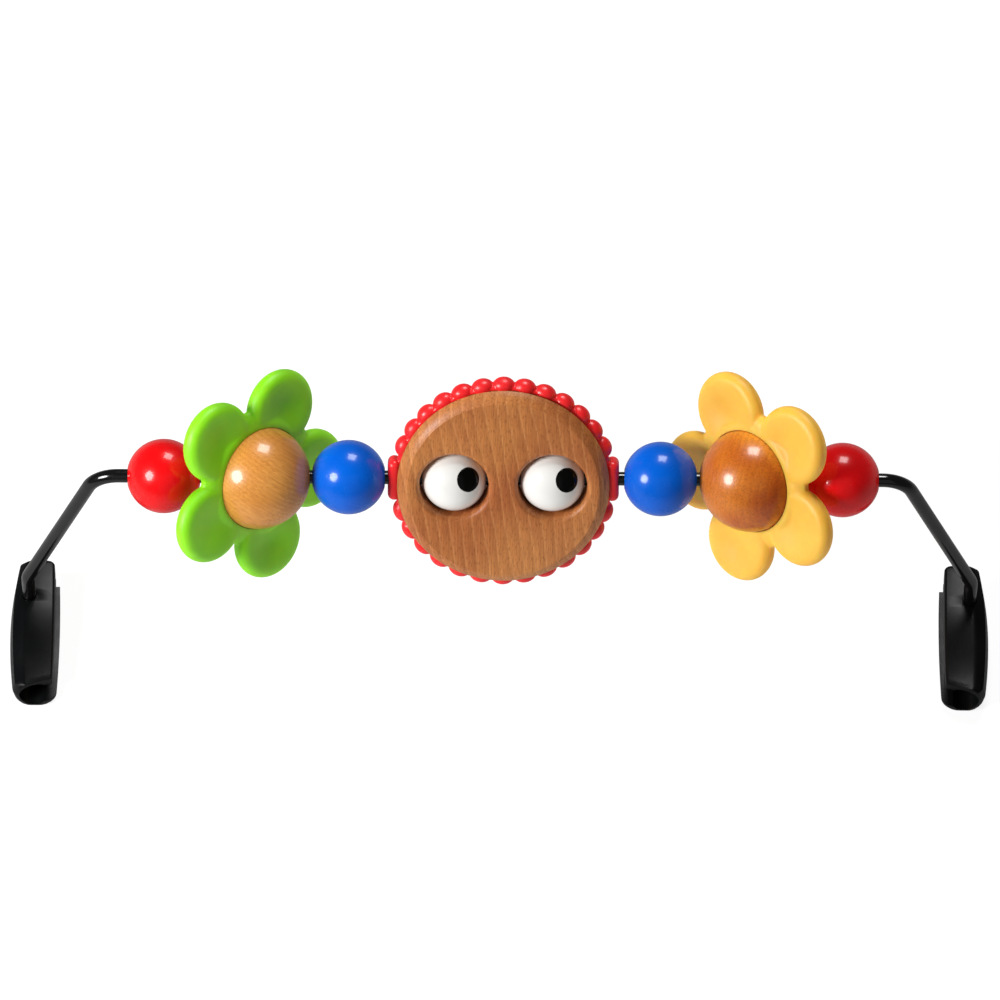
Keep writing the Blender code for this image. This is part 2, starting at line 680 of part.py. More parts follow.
def make_clip(side):
    """A clip: a channel that opens inwards, with a boss over it for the bar's end."""
    where = "left" if side < 0 else "right"
    name = f"clip_{where}"
    middle = CLIP_BEHIND_BAR - CLIP_LENGTH / 2
    bm = solid_from_outline(name, clip_section(side), CLIP_LENGTH, CLIP_END_ROUNDING)
    # Z runs along the outline's length, so it is turned to point behind the bar.
    bm.transform(Matrix.Translation((0, middle, 0)) @ Matrix.Rotation(math.pi / 2, 4, "X"))
    for station in range(1, CLIP_STATIONS):
        y = middle + CLIP_LENGTH * (station / CLIP_STATIONS - 1 / 2)
        geometry = [*bm.verts, *bm.edges, *bm.faces]
        bmesh.ops.bisect_plane(bm, geom=geometry, plane_co=(0, y, 0), plane_no=(0, 1, 0), dist=WELD)
    for vert in bm.verts:
        vert.co.x *= clip_share(vert.co.x * side > 0, vert.co.y)
        upper_share = max(0, vert.co.z - CHANNEL_HEIGHT) / (CLIP_HEIGHT - CHANNEL_HEIGHT)
        vert.co.z += clip_crown(vert.co.y) * upper_share
    clip = from_bmesh(name, bm)
    frame = Matrix.Translation((side * (SOCKET_X - SOCKET_OFFSET), BAR_Y, 0))
    place(clip, toy, matrix=frame, material=finish(name, SATIN_BLACK, 0.4))

    front, back = middle - CLIP_LENGTH / 2, middle + CLIP_LENGTH / 2
    channel = rod(f"channel_{where}", TUBE_BORE / 2, front - OVERRUN, back + OVERRUN, CHANNEL_SIDES)
    turn = Matrix.Rotation(-math.pi / 2, 4, "X")
    helper(channel, matrix=frame @ Matrix.Translation((0, 0, CHANNEL_HEIGHT)) @ turn)

    beyond = LIP_REACH + OVERRUN
    sides = sorted((0, -side * beyond))
    slit = block(
        f"slit_{where}",
        (sides[0], front - OVERRUN, CHANNEL_HEIGHT - SLIT_HEIGHT / 2),
        (sides[1], back + OVERRUN, CHANNEL_HEIGHT + SLIT_HEIGHT / 2),
    )
    helper(slit, matrix=frame)

    mouth = block(
        f"mouth_{where}",
        (-CLIP_LENGTH, front - CLIP_LENGTH, CHANNEL_HEIGHT),
        (CLIP_LENGTH, front, CLIP_TOP + OVERRUN),
    )
    skew = math.atan2(MOUTH_SKEW, OUTER_REACH + INNER_REACH)
    pivot = Vector((side * OUTER_REACH, front, 0))
    swing = Matrix.Rotation(-side * skew, 4, "Z")
    helper(mouth, matrix=frame @ Matrix.Translation(pivot) @ swing @ Matrix.Translation(-pivot))

    sides = sorted((-side * INNER_REACH * INNER_SHARES["back"], -side * beyond))
    lip_end = block(
        f"lip_end_{where}",
        (sides[0], back - CLIP_LIP_START, -OVERRUN),
        (sides[1], back + OVERRUN, CHANNEL_HEIGHT),
    )
    helper(lip_end, matrix=frame)

    socket_radius = BAR_DIAMETER / 2 + SOCKET_CLEARANCE
    socket = rod(f"socket_{where}", socket_radius, SOCKET_BOTTOM, CLIP_TOP + OVERRUN, BAR_SIDES)
    helper(socket, matrix=Matrix.Translation((side * SOCKET_X, BAR_Y, 0)))
    cut(clip, channel, slit, mouth, lip_end, socket)


def make_toy():
    make_bar()
    red, blue = finish("red_lacquer", RED, 0.2), finish("blue_lacquer", BLUE, 0.2)
    woods, petals = {-1: MAPLE, 1: CHERRY}, {-1: GREEN, 1: YELLOW}
    for side, places in PLACES.items():
        where = "left" if side < 0 else "right"
        make_bead(f"blue_bead_{where}", side * places["blue"], blue)
        make_flower(side, side * places["ball"], petals[side], woods[side])
        make_bead(f"red_bead_{where}", side * places["red"], red)
        make_eye(side)
        make_clip(side)
    make_face()


clear_scene()
toy = new_collection("bouncer_toy_bar")
cutters = new_collection("cutters")
make_toy()
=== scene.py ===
"""Looks for a wooden toy bar that clips onto a baby bouncer.

A bent black bar carries lacquered beads, two flowers and a round wooden face with two
eyeballs, and has a clip at each end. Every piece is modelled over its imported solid,
rides on the same body and stands in for it.

Metres, +Z up, the bar along X, the face looking towards -Y and up.
"""

from __future__ import annotations

import json
import logging
import math
from contextlib import contextmanager
from dataclasses import dataclass, field, replace
from enum import Enum
from typing import Callable, Iterator, Sequence

import bmesh
import bpy
from mathutils import Matrix, Vector

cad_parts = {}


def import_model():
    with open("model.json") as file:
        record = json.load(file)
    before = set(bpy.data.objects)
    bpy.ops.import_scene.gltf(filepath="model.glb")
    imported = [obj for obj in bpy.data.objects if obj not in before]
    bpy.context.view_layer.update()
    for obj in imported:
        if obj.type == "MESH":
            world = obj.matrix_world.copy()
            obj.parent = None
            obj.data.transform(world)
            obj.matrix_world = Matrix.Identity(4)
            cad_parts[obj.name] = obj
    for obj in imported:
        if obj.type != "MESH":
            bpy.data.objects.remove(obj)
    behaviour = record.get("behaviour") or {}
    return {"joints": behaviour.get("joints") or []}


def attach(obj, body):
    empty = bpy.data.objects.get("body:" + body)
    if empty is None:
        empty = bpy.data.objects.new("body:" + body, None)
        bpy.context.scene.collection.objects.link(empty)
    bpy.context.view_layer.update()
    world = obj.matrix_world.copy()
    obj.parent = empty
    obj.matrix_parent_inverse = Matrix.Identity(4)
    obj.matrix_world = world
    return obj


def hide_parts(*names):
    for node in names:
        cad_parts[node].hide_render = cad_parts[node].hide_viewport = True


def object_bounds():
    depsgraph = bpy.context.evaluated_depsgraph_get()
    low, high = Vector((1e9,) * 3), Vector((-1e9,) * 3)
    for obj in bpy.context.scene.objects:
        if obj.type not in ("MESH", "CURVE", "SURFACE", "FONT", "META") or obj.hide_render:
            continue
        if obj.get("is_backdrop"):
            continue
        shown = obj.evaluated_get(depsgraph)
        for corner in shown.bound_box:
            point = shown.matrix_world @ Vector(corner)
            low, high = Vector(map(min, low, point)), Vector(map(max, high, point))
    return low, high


LOG = logging.getLogger("toy_bar")
MM = 0.001
WELD = 0.01 * MM

Piece = bpy.types.Object
Socket = bpy.types.NodeSocket
Outline = Sequence[tuple[float, float]]
Colour = tuple[int, int, int]
Triple = tuple[float, float, float]
Pair = tuple[float, float]


class Side(Enum):
    """The two ends of the bar, with the sign of X that each has."""

    LEFT = -1
    RIGHT = 1

    @property
    def word(self) -> str:
        """The side's word in the nodes' names."""
        return self.name.lower()


# The bench: modelling steps that every sub-assembly uses


def pick_up(*pieces: Piece) -> None:
    """Select only these pieces and make the first one active.

    Args:
        pieces: The pieces that the next operator acts on.
    """
    bpy.ops.object.select_all(action="DESELECT")
    for piece in pieces:
        piece.select_set(True)
    bpy.context.view_layer.objects.active = pieces[0]


@contextmanager
def editing(piece: Piece) -> Iterator[None]:
    """Edit one piece's mesh, starting with nothing selected in it.

    Args:
        piece: The mesh object to edit.
    """
    pick_up(piece)
    bpy.ops.object.mode_set(mode="EDIT")
    bpy.ops.mesh.select_mode(type="VERT")
    bpy.ops.mesh.select_all(action="DESELECT")
    yield
    bpy.ops.object.mode_set(mode="OBJECT")


def choose(piece: Piece, wanted: Callable[[Vector], bool]) -> None:
    """Select the vertices of the piece in edit mode whose place passes a test.

    Args:
        piece: The piece that is being edited.
        wanted: Says of a vertex's place whether it is selected.
    """
    mesh = bmesh.from_edit_mesh(piece.data)
    for vert in mesh.verts:
        vert.select_set(wanted(vert.co))
    mesh.select_flush(True)
    bmesh.update_edit_mesh(piece.data)


def weld() -> None:
    """Select the whole mesh in edit mode and weld its doubles."""
    bpy.ops.mesh.select_all(action="SELECT")
    bpy.ops.mesh.remove_doubles(threshold=WELD)


def close_up() -> None:
    """Weld the mesh in edit mode and point its normals outwards."""
    weld()
    bpy.ops.mesh.normals_make_consistent(inside=False)


def push(move: Vector) -> None:
    """Draw what is selected out along a straight."""
    bpy.ops.mesh.extrude_region_move(TRANSFORM_OT_translate={"value": move})


def seat(piece: Piece, matrix: Matrix | None = None) -> Piece:
    """Move a piece and put its place, turn and size into its mesh.

    Args:
        piece: The piece to move.
        matrix: Where it goes, or None to keep it where it is.

    Returns:
        The same piece, with its object at the origin.
    """
    if matrix is not None:
        piece.matrix_world = matrix
    pick_up(piece)
    bpy.ops.object.transform_apply(location=True, rotation=True, scale=True)
    return piece


def add(operator: Callable[..., object], name: str, **settings: object) -> Piece:
    """Add one of Blender's primitive shapes.

    Args:
        operator: The operator that adds it.
        name: The name of the piece and its mesh.
        settings: The operator's settings.

    Returns:
        The piece, with its place in its mesh.
    """
    operator(**settings)
    piece = bpy.context.object
    piece.name = piece.data.name = name
    return seat(piece)


def rod(name: str, radius: float, low: float, high: float, sides: int) -> Piece:
    """Add a cylinder on the Z axis between two heights."""
    size = {"radius": radius, "depth": high - low, "location": (0, 0, (high + low) / 2)}
    return add(bpy.ops.mesh.primitive_cylinder_add, name, vertices=sides, **size)


def ball(name: str, radius: float, sides: int) -> Piece:
    """Add a ball round the origin, with sides round Z and half as many rings."""
    size = {"segments": sides, "ring_count": sides // 2, "radius": radius}
    return add(bpy.ops.mesh.primitive_uv_sphere_add, name, **size)


def block(name: str, *spans: Pair) -> Piece:
    """Add a box.

    Args:
        name: The piece's name.
        spans: Its ends along X, Y and Z, each pair in either order.

    Returns:
        The box.
    """
    low, high = (Vector([end(span) for span in spans]) for end in (min, max))
    size = {"size": 1, "location": (low + high) / 2, "scale": high - low}
    return add(bpy.ops.mesh.primitive_cube_add, name, **size)


def draw_line(name: str, points: Sequence[Vector]) -> Piece:
    """Draw a run of edges by extruding one vertex from point to point.

    Args:
        name: The piece's name.
        points: The places that the line goes through.

    Returns:
        An object whose mesh is only that line.
    """
    piece = add(bpy.ops.mesh.primitive_plane_add, name, size=MM)
    with editing(piece):
        bpy.ops.mesh.select_all(action="SELECT")
        bpy.ops.mesh.merge(type="CENTER")
        bpy.ops.transform.translate(value=points[0])
        for here, there in zip(points, points[1:]):
            push(there - here)
    return piece


def turn(name: str, outline: Outline, steps: int, closed: bool = False) -> Piece:
    """Turn an outline about Z as on a lathe.

    Args:
        name: The piece's name.
        outline: (radius, height) points down its outer side.
        steps: How many steps a full turn takes.
        closed: Whether the last point joins the first, as round a bored piece.

    Returns:
        A closed mesh whose normals point outwards.
    """
    points = [Vector((radius, 0, height)) for radius, height in outline]
    piece = draw_line(name, [*points, points[0]] if closed else points)
    with editing(piece):
        weld()
        bpy.ops.mesh.spin(steps=steps, angle=math.tau, center=(0, 0, 0), axis=(0, 0, 1))
        close_up()
    return piece


def modify(piece: Piece, kind: str, **settings: object) -> None:
    """Add a modifier and apply it.

    Args:
        piece: The piece to change.
        kind: The modifier's type.
        settings: Its properties by name.
    """
    modifier = piece.modifiers.new(kind, kind)
    for name, value in settings.items():
        setattr(modifier, name, value)
    pick_up(piece)
    bpy.ops.object.modifier_apply(modifier=modifier.name)


def carve(piece: Piece, *tools: Piece) -> None:
    """Cut a piece with closed tools, which are then thrown away.

    Args:
        piece: The piece to cut.
        tools: The shapes to take out of it.
    """
    for tool in tools:
        modify(piece, "BOOLEAN", operation="DIFFERENCE", solver="EXACT", object=tool)
        bpy.data.objects.remove(tool, do_unlink=True)


def fuse(pieces: Sequence[Piece], voxel: float, passes: int) -> Piece:
    """Melt overlapping shapes into one moulding with soft inner corners.

    Args:
        pieces: The shapes, whose first gives the result its name.
        voxel: The size of the new mesh's faces.
        passes: How often the new surface is smoothed.

    Returns:
        The moulding.
    """
    pick_up(*pieces)
    bpy.ops.object.join()
    modify(pieces[0], "REMESH", mode="VOXEL", voxel_size=voxel)
    modify(pieces[0], "SMOOTH", iterations=passes)
    return pieces[0]


def round_edges(piece: Piece, width: float, segments: int, angle: float) -> None:
    """Round the edges that are sharper than an angle, with a width and faces across it."""
    limit = {"limit_method": "ANGLE", "angle_limit": angle, "use_clamp_overlap": True}
    modify(piece, "BEVEL", width=width, segments=segments, **limit)


def arc(centre: Pair, radius: float, start: float, stop: float, steps: int) -> Outline:
    """Give points along an arc from angle to angle, with both ends included."""
    turns = [start + (stop - start) * step / steps for step in range(steps + 1)]
    return [(centre[0] + radius * math.cos(a), centre[1] + radius * math.sin(a)) for a in turns]


def underside(outline: Outline) -> Outline:
    """Mirror an outline's upper half and run back along it."""
    return [(radius, -height) for radius, height in reversed(outline)]


def filleted(corners: Sequence[tuple[Vector, float, int]]) -> list[Vector]:
    """Round the corners of a closed outline.

    Args:
        corners: Each corner's place, the radius of its rounding and its steps.

    Returns:
        The outline's points.
    """
    points = []
    for index, (corner, radius, steps) in enumerate(corners):
        if not radius:
            points.append(corner)
            continue
        back = (corners[index - 1][0] - corner).normalized()
        ahead = (corners[(index + 1) % len(corners)][0] - corner).normalized()
        half = back.angle(ahead) / 2
        centre = corner + (back + ahead).normalized() * radius / math.sin(half)
        spoke = corner + back * radius / math.tan(half) - centre
        axis = ahead.cross(back)
        for step in range(steps + 1):
            swing = Matrix.Rotation((math.pi - 2 * half) * step / steps, 3, axis)
            points.append(centre + swing @ spoke)
    return points


def facing(direction: Vector, across: Vector) -> Matrix:
    """Give the turn that points Z along one direction and X along another, square to it."""
    direction, across = direction.normalized(), across.normalized()
    return Matrix((across, direction.cross(across), direction)).transposed().to_4x4()


# Finishes

SPAN_INPUTS = ("Value", "From Min", "From Max", "To Min", "To Max")


def linear(colour: Colour) -> Sequence[float]:
    """Turn an sRGB colour of 0 to 255 into the linear one that a shader takes."""
    shares = [channel / 255 for channel in colour]
    return (*(c / 12.92 if c <= 0.04045 else ((c + 0.055) / 1.055) ** 2.4 for c in shares), 1)


class Graph:
    """A node tree with short ways to add and link nodes."""

    def __init__(self, tree: bpy.types.NodeTree) -> None:
        """Keep the tree that the nodes go in."""
        self.tree = tree

    def add(self, kind: str, **settings: object) -> bpy.types.Node:
        """Add a node.

        Args:
            kind: The node's type, without ShaderNode.
            settings: Its properties by name.

        Returns:
            The node.
        """
        node = self.tree.nodes.new(kind if kind.startswith("Node") else f"ShaderNode{kind}")
        for name, value in settings.items():
            setattr(node, name, value)
        return node

    def fill(self, node: bpy.types.Node, values: dict[str | int, object]) -> bpy.types.Node:
        """Fill a node's inputs.

        Args:
            node: The node.
            values: A socket to link or a plain value for each input.

        Returns:
            The same node.
        """
        for key, value in values.items():
            if isinstance(value, Socket):
                self.tree.links.new(value, node.inputs[key])
            else:
                node.inputs[key].default_value = value
        return node

    def noise(
        self, place: Socket, scale: float | Socket, detail: float, roughness: float = 0.5
    ) -> Socket:
        """Add a noise with its features per metre, its octaves and the share of the small ones."""
        values = {"Vector": place, "Scale": scale, "Detail": detail, "Roughness": roughness}
        return self.fill(self.add("TexNoise"), values).outputs["Fac"]

    def math(self, kind: str, operation: str, *values: object) -> Socket:
        """Add a Math or VectorMath node, with what its inputs take."""
        node = self.fill(self.add(kind, operation=operation), dict(enumerate(values)))
        return node.outputs["Value" if operation in ("LENGTH", "DOT_PRODUCT") else 0]

    def span(self, value: Socket, low: float, high: float, to: Pair = (0, 1)) -> Socket:
        """Map a value smoothly from low and high to the ends of another range, clamped."""
        node = self.add("MapRange", interpolation_type="SMOOTHSTEP")
        return self.fill(node, dict(zip(SPAN_INPUTS, (value, low, high, *to)))).outputs["Result"]

    def blend(self, share: Socket, first: Socket | Colour, second: Socket | Colour) -> Socket:
        """Mix two colours.

        Args:
            share: How much of the second there is.
            first: A colour or a socket.
            second: A colour or a socket.

        Returns:
            The mixed colour.
        """
        node = self.add("Mix", data_type="RGBA")
        places = [index for index, socket in enumerate(node.inputs) if socket.type == "RGBA"]
        tones = [linear(tone) if isinstance(tone, tuple) else tone for tone in (first, second)]
        self.fill(node, {"Factor": share, **dict(zip(places, tones))})
        return next(socket for socket in node.outputs if socket.type == "RGBA")


@dataclass(frozen=True)
class Grain:
    """A noise: how it is drawn out along the fibres, its scale, and what part of it shows."""

    along: float
    scale: float
    detail: float
    roughness: float
    shown: Pair = (0.3, 0.7)

    def value(self, graph: Graph, place: Socket) -> Socket:
        """Add the noise."""
        drawn = graph.fill(graph.add("Mapping"), {"Vector": place, "Scale": (1, 1, self.along)})
        return graph.noise(drawn.outputs["Vector"], self.scale, self.detail, self.roughness)

    def mask(self, graph: Graph, place: Socket) -> Socket:
        """Add the noise with what shows of it spread from 0 to 1."""
        return graph.span(self.value(graph, place), *self.shown)


SWAY = Grain(0.22, 38, 3, 0.55)
FIBRES = Grain(0.05, 1500, 3, 0.6)
FLECKS = Grain(0.28, 1500, 2, 0.4, (0.5, 0.7))
WOOD_CLOUDS = Grain(1, 26, 3, 0.5)
TINT_CLOUDS = Grain(1, 55, 3, 0.5)
SMEARS = Grain(1, 90, 5, 0.6, (0.32, 0.68))
LATE_EDGE = 0.86
GRIT_DETAIL = 3
WHOLE = (0, 1)
DARK_PART = (0.2, 1)
LIGHT_LINES = (0, 0.22)


def new_group(
    name: str, vectors: Sequence[str], numbers: Sequence[str], outputs: Sequence[str]
) -> tuple[Graph, Sequence[Socket], bpy.types.Node]:
    """Start a node group.

    Args:
        name: Its name.
        vectors: The names of its inputs that take vectors.
        numbers: The names of its inputs that take numbers.
        outputs: The names of its outputs, all plain numbers.

    Returns:
        Its graph, the sockets that its inputs arrive at, and the node that its outputs take.
    """
    tree = bpy.data.node_groups.new(name, "ShaderNodeTree")
    rows = ((vectors, "INPUT", "Vector"), (numbers, "INPUT", "Float"), (outputs, "OUTPUT", "Float"))
    for names, way, kind in rows:
        for socket in names:
            tree.interface.new_socket(name=socket, in_out=way, socket_type=f"NodeSocket{kind}")
    graph = Graph(tree)
    return graph, graph.add("NodeGroupInput").outputs, graph.add("NodeGroupOutput")


def figure_group() -> bpy.types.NodeTree:
    """Build the wood's figure, with the fibres along Z.

    Returns:
        A group that gives growth bands, fine fibres and short flecks, each from 0 to 1.
    """
    graph, given, made = new_group(
        "wood_figure",
        ("Vector", "Curve", "Pith"),
        ("Band spacing", "Waviness"),
        ("Bands", "Fibres", "Flecks"),
    )
    own = given["Vector"]
    from_pith = graph.math("VectorMath", "SUBTRACT", own, given["Pith"])
    curved = graph.math("VectorMath", "MULTIPLY", from_pith, given["Curve"])
    distance = graph.math("VectorMath", "LENGTH", curved)
    rings = graph.math("Math", "DIVIDE", distance, given["Band spacing"])
    sway = SWAY.value(graph, own)
    swayed = graph.math("Math", "MULTIPLY_ADD", sway, given["Waviness"], rings)
    ramp = graph.fill(graph.add("ValToRGB"), {"Fac": graph.math("Math", "FRACT", swayed)})
    # Early wood rises slowly to a dark late edge, then starts again.
    ramp.color_ramp.elements[1].position = LATE_EDGE
    ramp.color_ramp.elements.new(1).color = (0, 0, 0, 1)
    masks = {"Fibres": FIBRES.mask(graph, own), "Flecks": FLECKS.mask(graph, own)}
    graph.fill(made, {"Bands": ramp.outputs["Color"], **masks})
    return graph.tree


def handling_group() -> bpy.types.NodeTree:
    """Build the small unevenness that every moulded, coated or lacquered surface has.

    Returns:
        A group that gives a roughness between two values and a height from 0 to 1.
    """
    graph, given, made = new_group(
        "handling", ("Vector",), ("Low", "High", "Grit"), ("Roughness", "Height")
    )
    smears = SMEARS.mask(graph, given["Vector"])
    ends = {"Value": smears, "To Min": given["Low"], "To Max": given["High"]}
    roughness = graph.fill(graph.add("MapRange"), ends).outputs["Result"]
    height = graph.noise(given["Vector"], given["Grit"], GRIT_DETAIL)
    graph.fill(made, {"Roughness": roughness, "Height": height})
    return graph.tree


@dataclass(frozen=True)
class Effects:
    """The shared node groups, each built once."""

    figure: bpy.types.NodeTree = field(default_factory=figure_group)
    handling: bpy.types.NodeTree = field(default_factory=handling_group)


@dataclass(frozen=True)
class Finish:
    """What every finish has, with the place and turn of the piece that it is on."""

    name: str
    roughness: Pair = (0.3, 0.4)
    specular: float = 0.5
    coat: float = 0.0
    coat_roughness: float = 0.05
    grit: float = 2500
    grit_depth: float = 0.01 * MM
    centre: Triple = (0, 0, 0)
    turn: Triple = (0, 0, 0)

    def material(self, effects: Effects) -> bpy.types.Material:
        """Make the material.

        Args:
            effects: The shared groups.

        Returns:
            The material.
        """
        material = bpy.data.materials.new(self.name)
        material.use_nodes = True
        graph = Graph(material.node_tree)
        place = graph.add("TexCoord").outputs["Object"]
        moved = {"Vector": place, "Location": self.centre, "Rotation": self.turn}
        own = graph.fill(graph.add("Mapping", vector_type="TEXTURE"), moved).outputs["Vector"]
        low, high = self.roughness
        handling = graph.fill(
            graph.add("Group", node_tree=effects.handling),
            {"Vector": own, "Low": low, "High": high, "Grit": self.grit},
        )
        relief = {"Height": handling.outputs["Height"], "Distance": self.grit_depth, "Strength": 1}
        normal = graph.fill(graph.add("Bump"), relief).outputs["Normal"]
        values = {
            "Roughness": handling.outputs["Roughness"],
            "Normal": normal,
            "Specular IOR Level": self.specular,
            "Coat Weight": self.coat,
            "Coat Roughness": self.coat_roughness,
            **self.body(graph, effects, own, normal),
        }
        graph.fill(material.node_tree.nodes["Principled BSDF"], values)
        return material

    def body(
        self, graph: Graph, effects: Effects, own: Socket, normal: Socket
    ) -> dict[str, object]:
        """Give what only this kind of finish has.

        Args:
            graph: The material's graph.
            effects: The shared groups.
            own: The piece's own coordinates.
            normal: The normal of the uneven surface.

        Returns:
            What the shader's inputs take, by name.
        """
        raise NotImplementedError


@dataclass(frozen=True)
class Tinted(Finish):
    """A moulded, coated or lacquered finish of one colour that varies a little."""

    colour: Colour = (128, 128, 128)
    shade: Colour = (110, 110, 110)
    subsurface: float = 0.0
    subsurface_depth: float = 2 * MM
    subsurface_reach: Triple = (1.0, 0.5, 0.3)

    def body(
        self, graph: Graph, effects: Effects, own: Socket, normal: Socket
    ) -> dict[str, object]:
        """Give the colour and what shines through.

        Args:
            graph: The material's graph.
            effects: The shared groups.
            own: The piece's own coordinates.
            normal: The normal of the uneven surface.

        Returns:
            What the shader's inputs take, by name.
        """
        return {
            "Base Color": graph.blend(TINT_CLOUDS.mask(graph, own), self.colour, self.shade),
            "Subsurface Weight": self.subsurface,
            "Subsurface Scale": self.subsurface_depth,
            "Subsurface Radius": self.subsurface_reach,
        }


@dataclass(frozen=True)
class Timber(Finish):
    """Clear-lacquered wood, with its fibres along the piece's own Z."""

    specular: float = 0.4
    light: Colour = (240, 200, 150)
    pale: Colour = (220, 170, 110)
    middle: Colour = (190, 130, 80)
    dark: Colour = (150, 90, 50)
    band_spacing: float = 4 * MM
    waviness: float = 1.2
    curve: float = 0.16
    pith: Triple = (0.03, 0.06, 0)
    # A colour blended in towards one side of the piece: painted shade on the left ball, painted
    # bounce light on the right ball, and a golden wood tone on the disc.
    drift_tone: Colour = (190, 130, 80)
    drift_way: Triple = (1, 0, 0)
    drift_span: Pair = (0, 0.04)
    drift_strength: float = 0.0
    bands: float = 0.3
    lines: float = 0.3
    fibres: float = 0.25
    flecks: float = 0.25
    fibre_depth: float = 0.03 * MM
    fibre_relief: float = 0.6

    def body(
        self, graph: Graph, effects: Effects, own: Socket, normal: Socket
    ) -> dict[str, object]:
        """Add the wood's figure, a tone towards one side that is partly painted light and shade,
        and the relief of its fibres.

        Args:
            graph: The material's graph.
            effects: The shared groups.
            own: The piece's own coordinates.
            normal: The normal of the uneven surface.

        Returns:
            What the shader's inputs take, by name.
        """
        figure = graph.fill(
            graph.add("Group", node_tree=effects.figure),
            {
                "Vector": own,
                "Band spacing": self.band_spacing,
                "Waviness": self.waviness,
                "Curve": (1, 1, self.curve),
                "Pith": self.pith,
            },
        )
        # A tone towards one side of the piece: painted shade on the left ball, painted bounce light
        # on the right ball, and a golden wood tone on the disc.
        reach = graph.math("VectorMath", "DOT_PRODUCT", own, self.drift_way)
        painted_light_and_tone_share = graph.span(reach, *self.drift_span, (0, self.drift_strength))
        wood = graph.blend(WOOD_CLOUDS.mask(graph, own), self.pale, self.middle)
        wood = graph.blend(painted_light_and_tone_share, wood, self.drift_tone)
        layers = (
            ("Bands", DARK_PART, (0, self.bands), self.dark),
            ("Bands", LIGHT_LINES, (self.lines, 0), self.light),
            ("Fibres", WHOLE, (0, self.fibres), self.dark),
            ("Flecks", WHOLE, (0, self.flecks), self.dark),
        )
        for mask, shown, strength, tone in layers:
            share = graph.span(figure.outputs[mask], *shown, strength)
            wood = graph.blend(share, wood, tone)
        relief = {
            "Height": figure.outputs["Fibres"],
            "Distance": self.fibre_depth,
            "Strength": self.fibre_relief,
            "Normal": normal,
        }
        grained = graph.fill(graph.add("Bump"), relief).outputs["Normal"]
        return {"Base Color": wood, "Normal": grained}


# The toy's sub-assemblies


@dataclass(frozen=True)
class Axle:
    """The line that everything on the bar turns about."""

    middle: float
    y: float
    height: float
    wire: float = 6.0 * MM
    bore_radius: float = 3.6 * MM
    ease: float = 0.5 * MM

    def point(self, x: float) -> Triple:
        """Give the place on the line that is at x."""
        return (x, self.y, self.height)

    def spindle(self, x: float, lift: float = 0) -> Matrix:
        """Give the place of a piece at x on the bar, with its front turned up by an angle."""
        return Matrix.Translation(self.point(x)) @ Matrix.Rotation(-lift, 4, "X")


ALONG_BAR = Matrix.Rotation(math.pi / 2, 4, "Y")
BORE_STEPS = 40
SOCKET_X = 208.493 * MM
EYE_SPACING = 42.8 * MM


@dataclass
class Assembly:
    """What every sub-assembly has: the line it turns about and the shared node groups."""

    axle: Axle
    effects: Effects

    def bored_ball(self, name: str, radius: float, place: Matrix, rings: int) -> Piece:
        """Model a ball with a bore along the bar.

        Args:
            name: The piece's name.
            radius: The ball's radius.
            place: Its place on the bar.
            rings: Its steps from mouth to mouth; it has twice as many round it.

        Returns:
            The ball.
        """
        bore, ease = self.axle.bore_radius, self.axle.ease
        start = math.asin((bore + ease) / radius)
        outer = arc((0, 0), radius, math.pi / 2 - start, start - math.pi / 2, rings)
        mouth = radius * math.cos(start) - ease
        drop = ease * (1 - math.sqrt(0.5))
        inlet = [(bore, mouth), (bore + drop, mouth + ease - drop)]
        outline = [*inlet, *outer, *underside(inlet)]
        return seat(turn(name, outline, 2 * rings, closed=True), place @ ALONG_BAR)

    def dress(
        self, piece: Piece, body: str, finish: Finish, slot: str, angle: float = math.radians(32)
    ) -> None:
        """Shade a finished piece, give it its material and body, and hide the solid that it stands
        for.

        Args:
            piece: The finished piece, named NODE_skin for the node that it stands for.
            body: The body that it moves with.
            finish: Its finish.
            slot: Not used.
            angle: The greatest angle between faces that is shaded smooth.
        """
        pick_up(piece)
        bpy.ops.object.shade_smooth_by_angle(angle=angle)
        piece.data.materials.clear()
        piece.data.materials.append(finish.material(self.effects))
        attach(piece, body)
        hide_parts(piece.name.removesuffix("_skin"))
        LOG.info("%s: %d faces on %s", piece.name, len(piece.data.polygons), body)


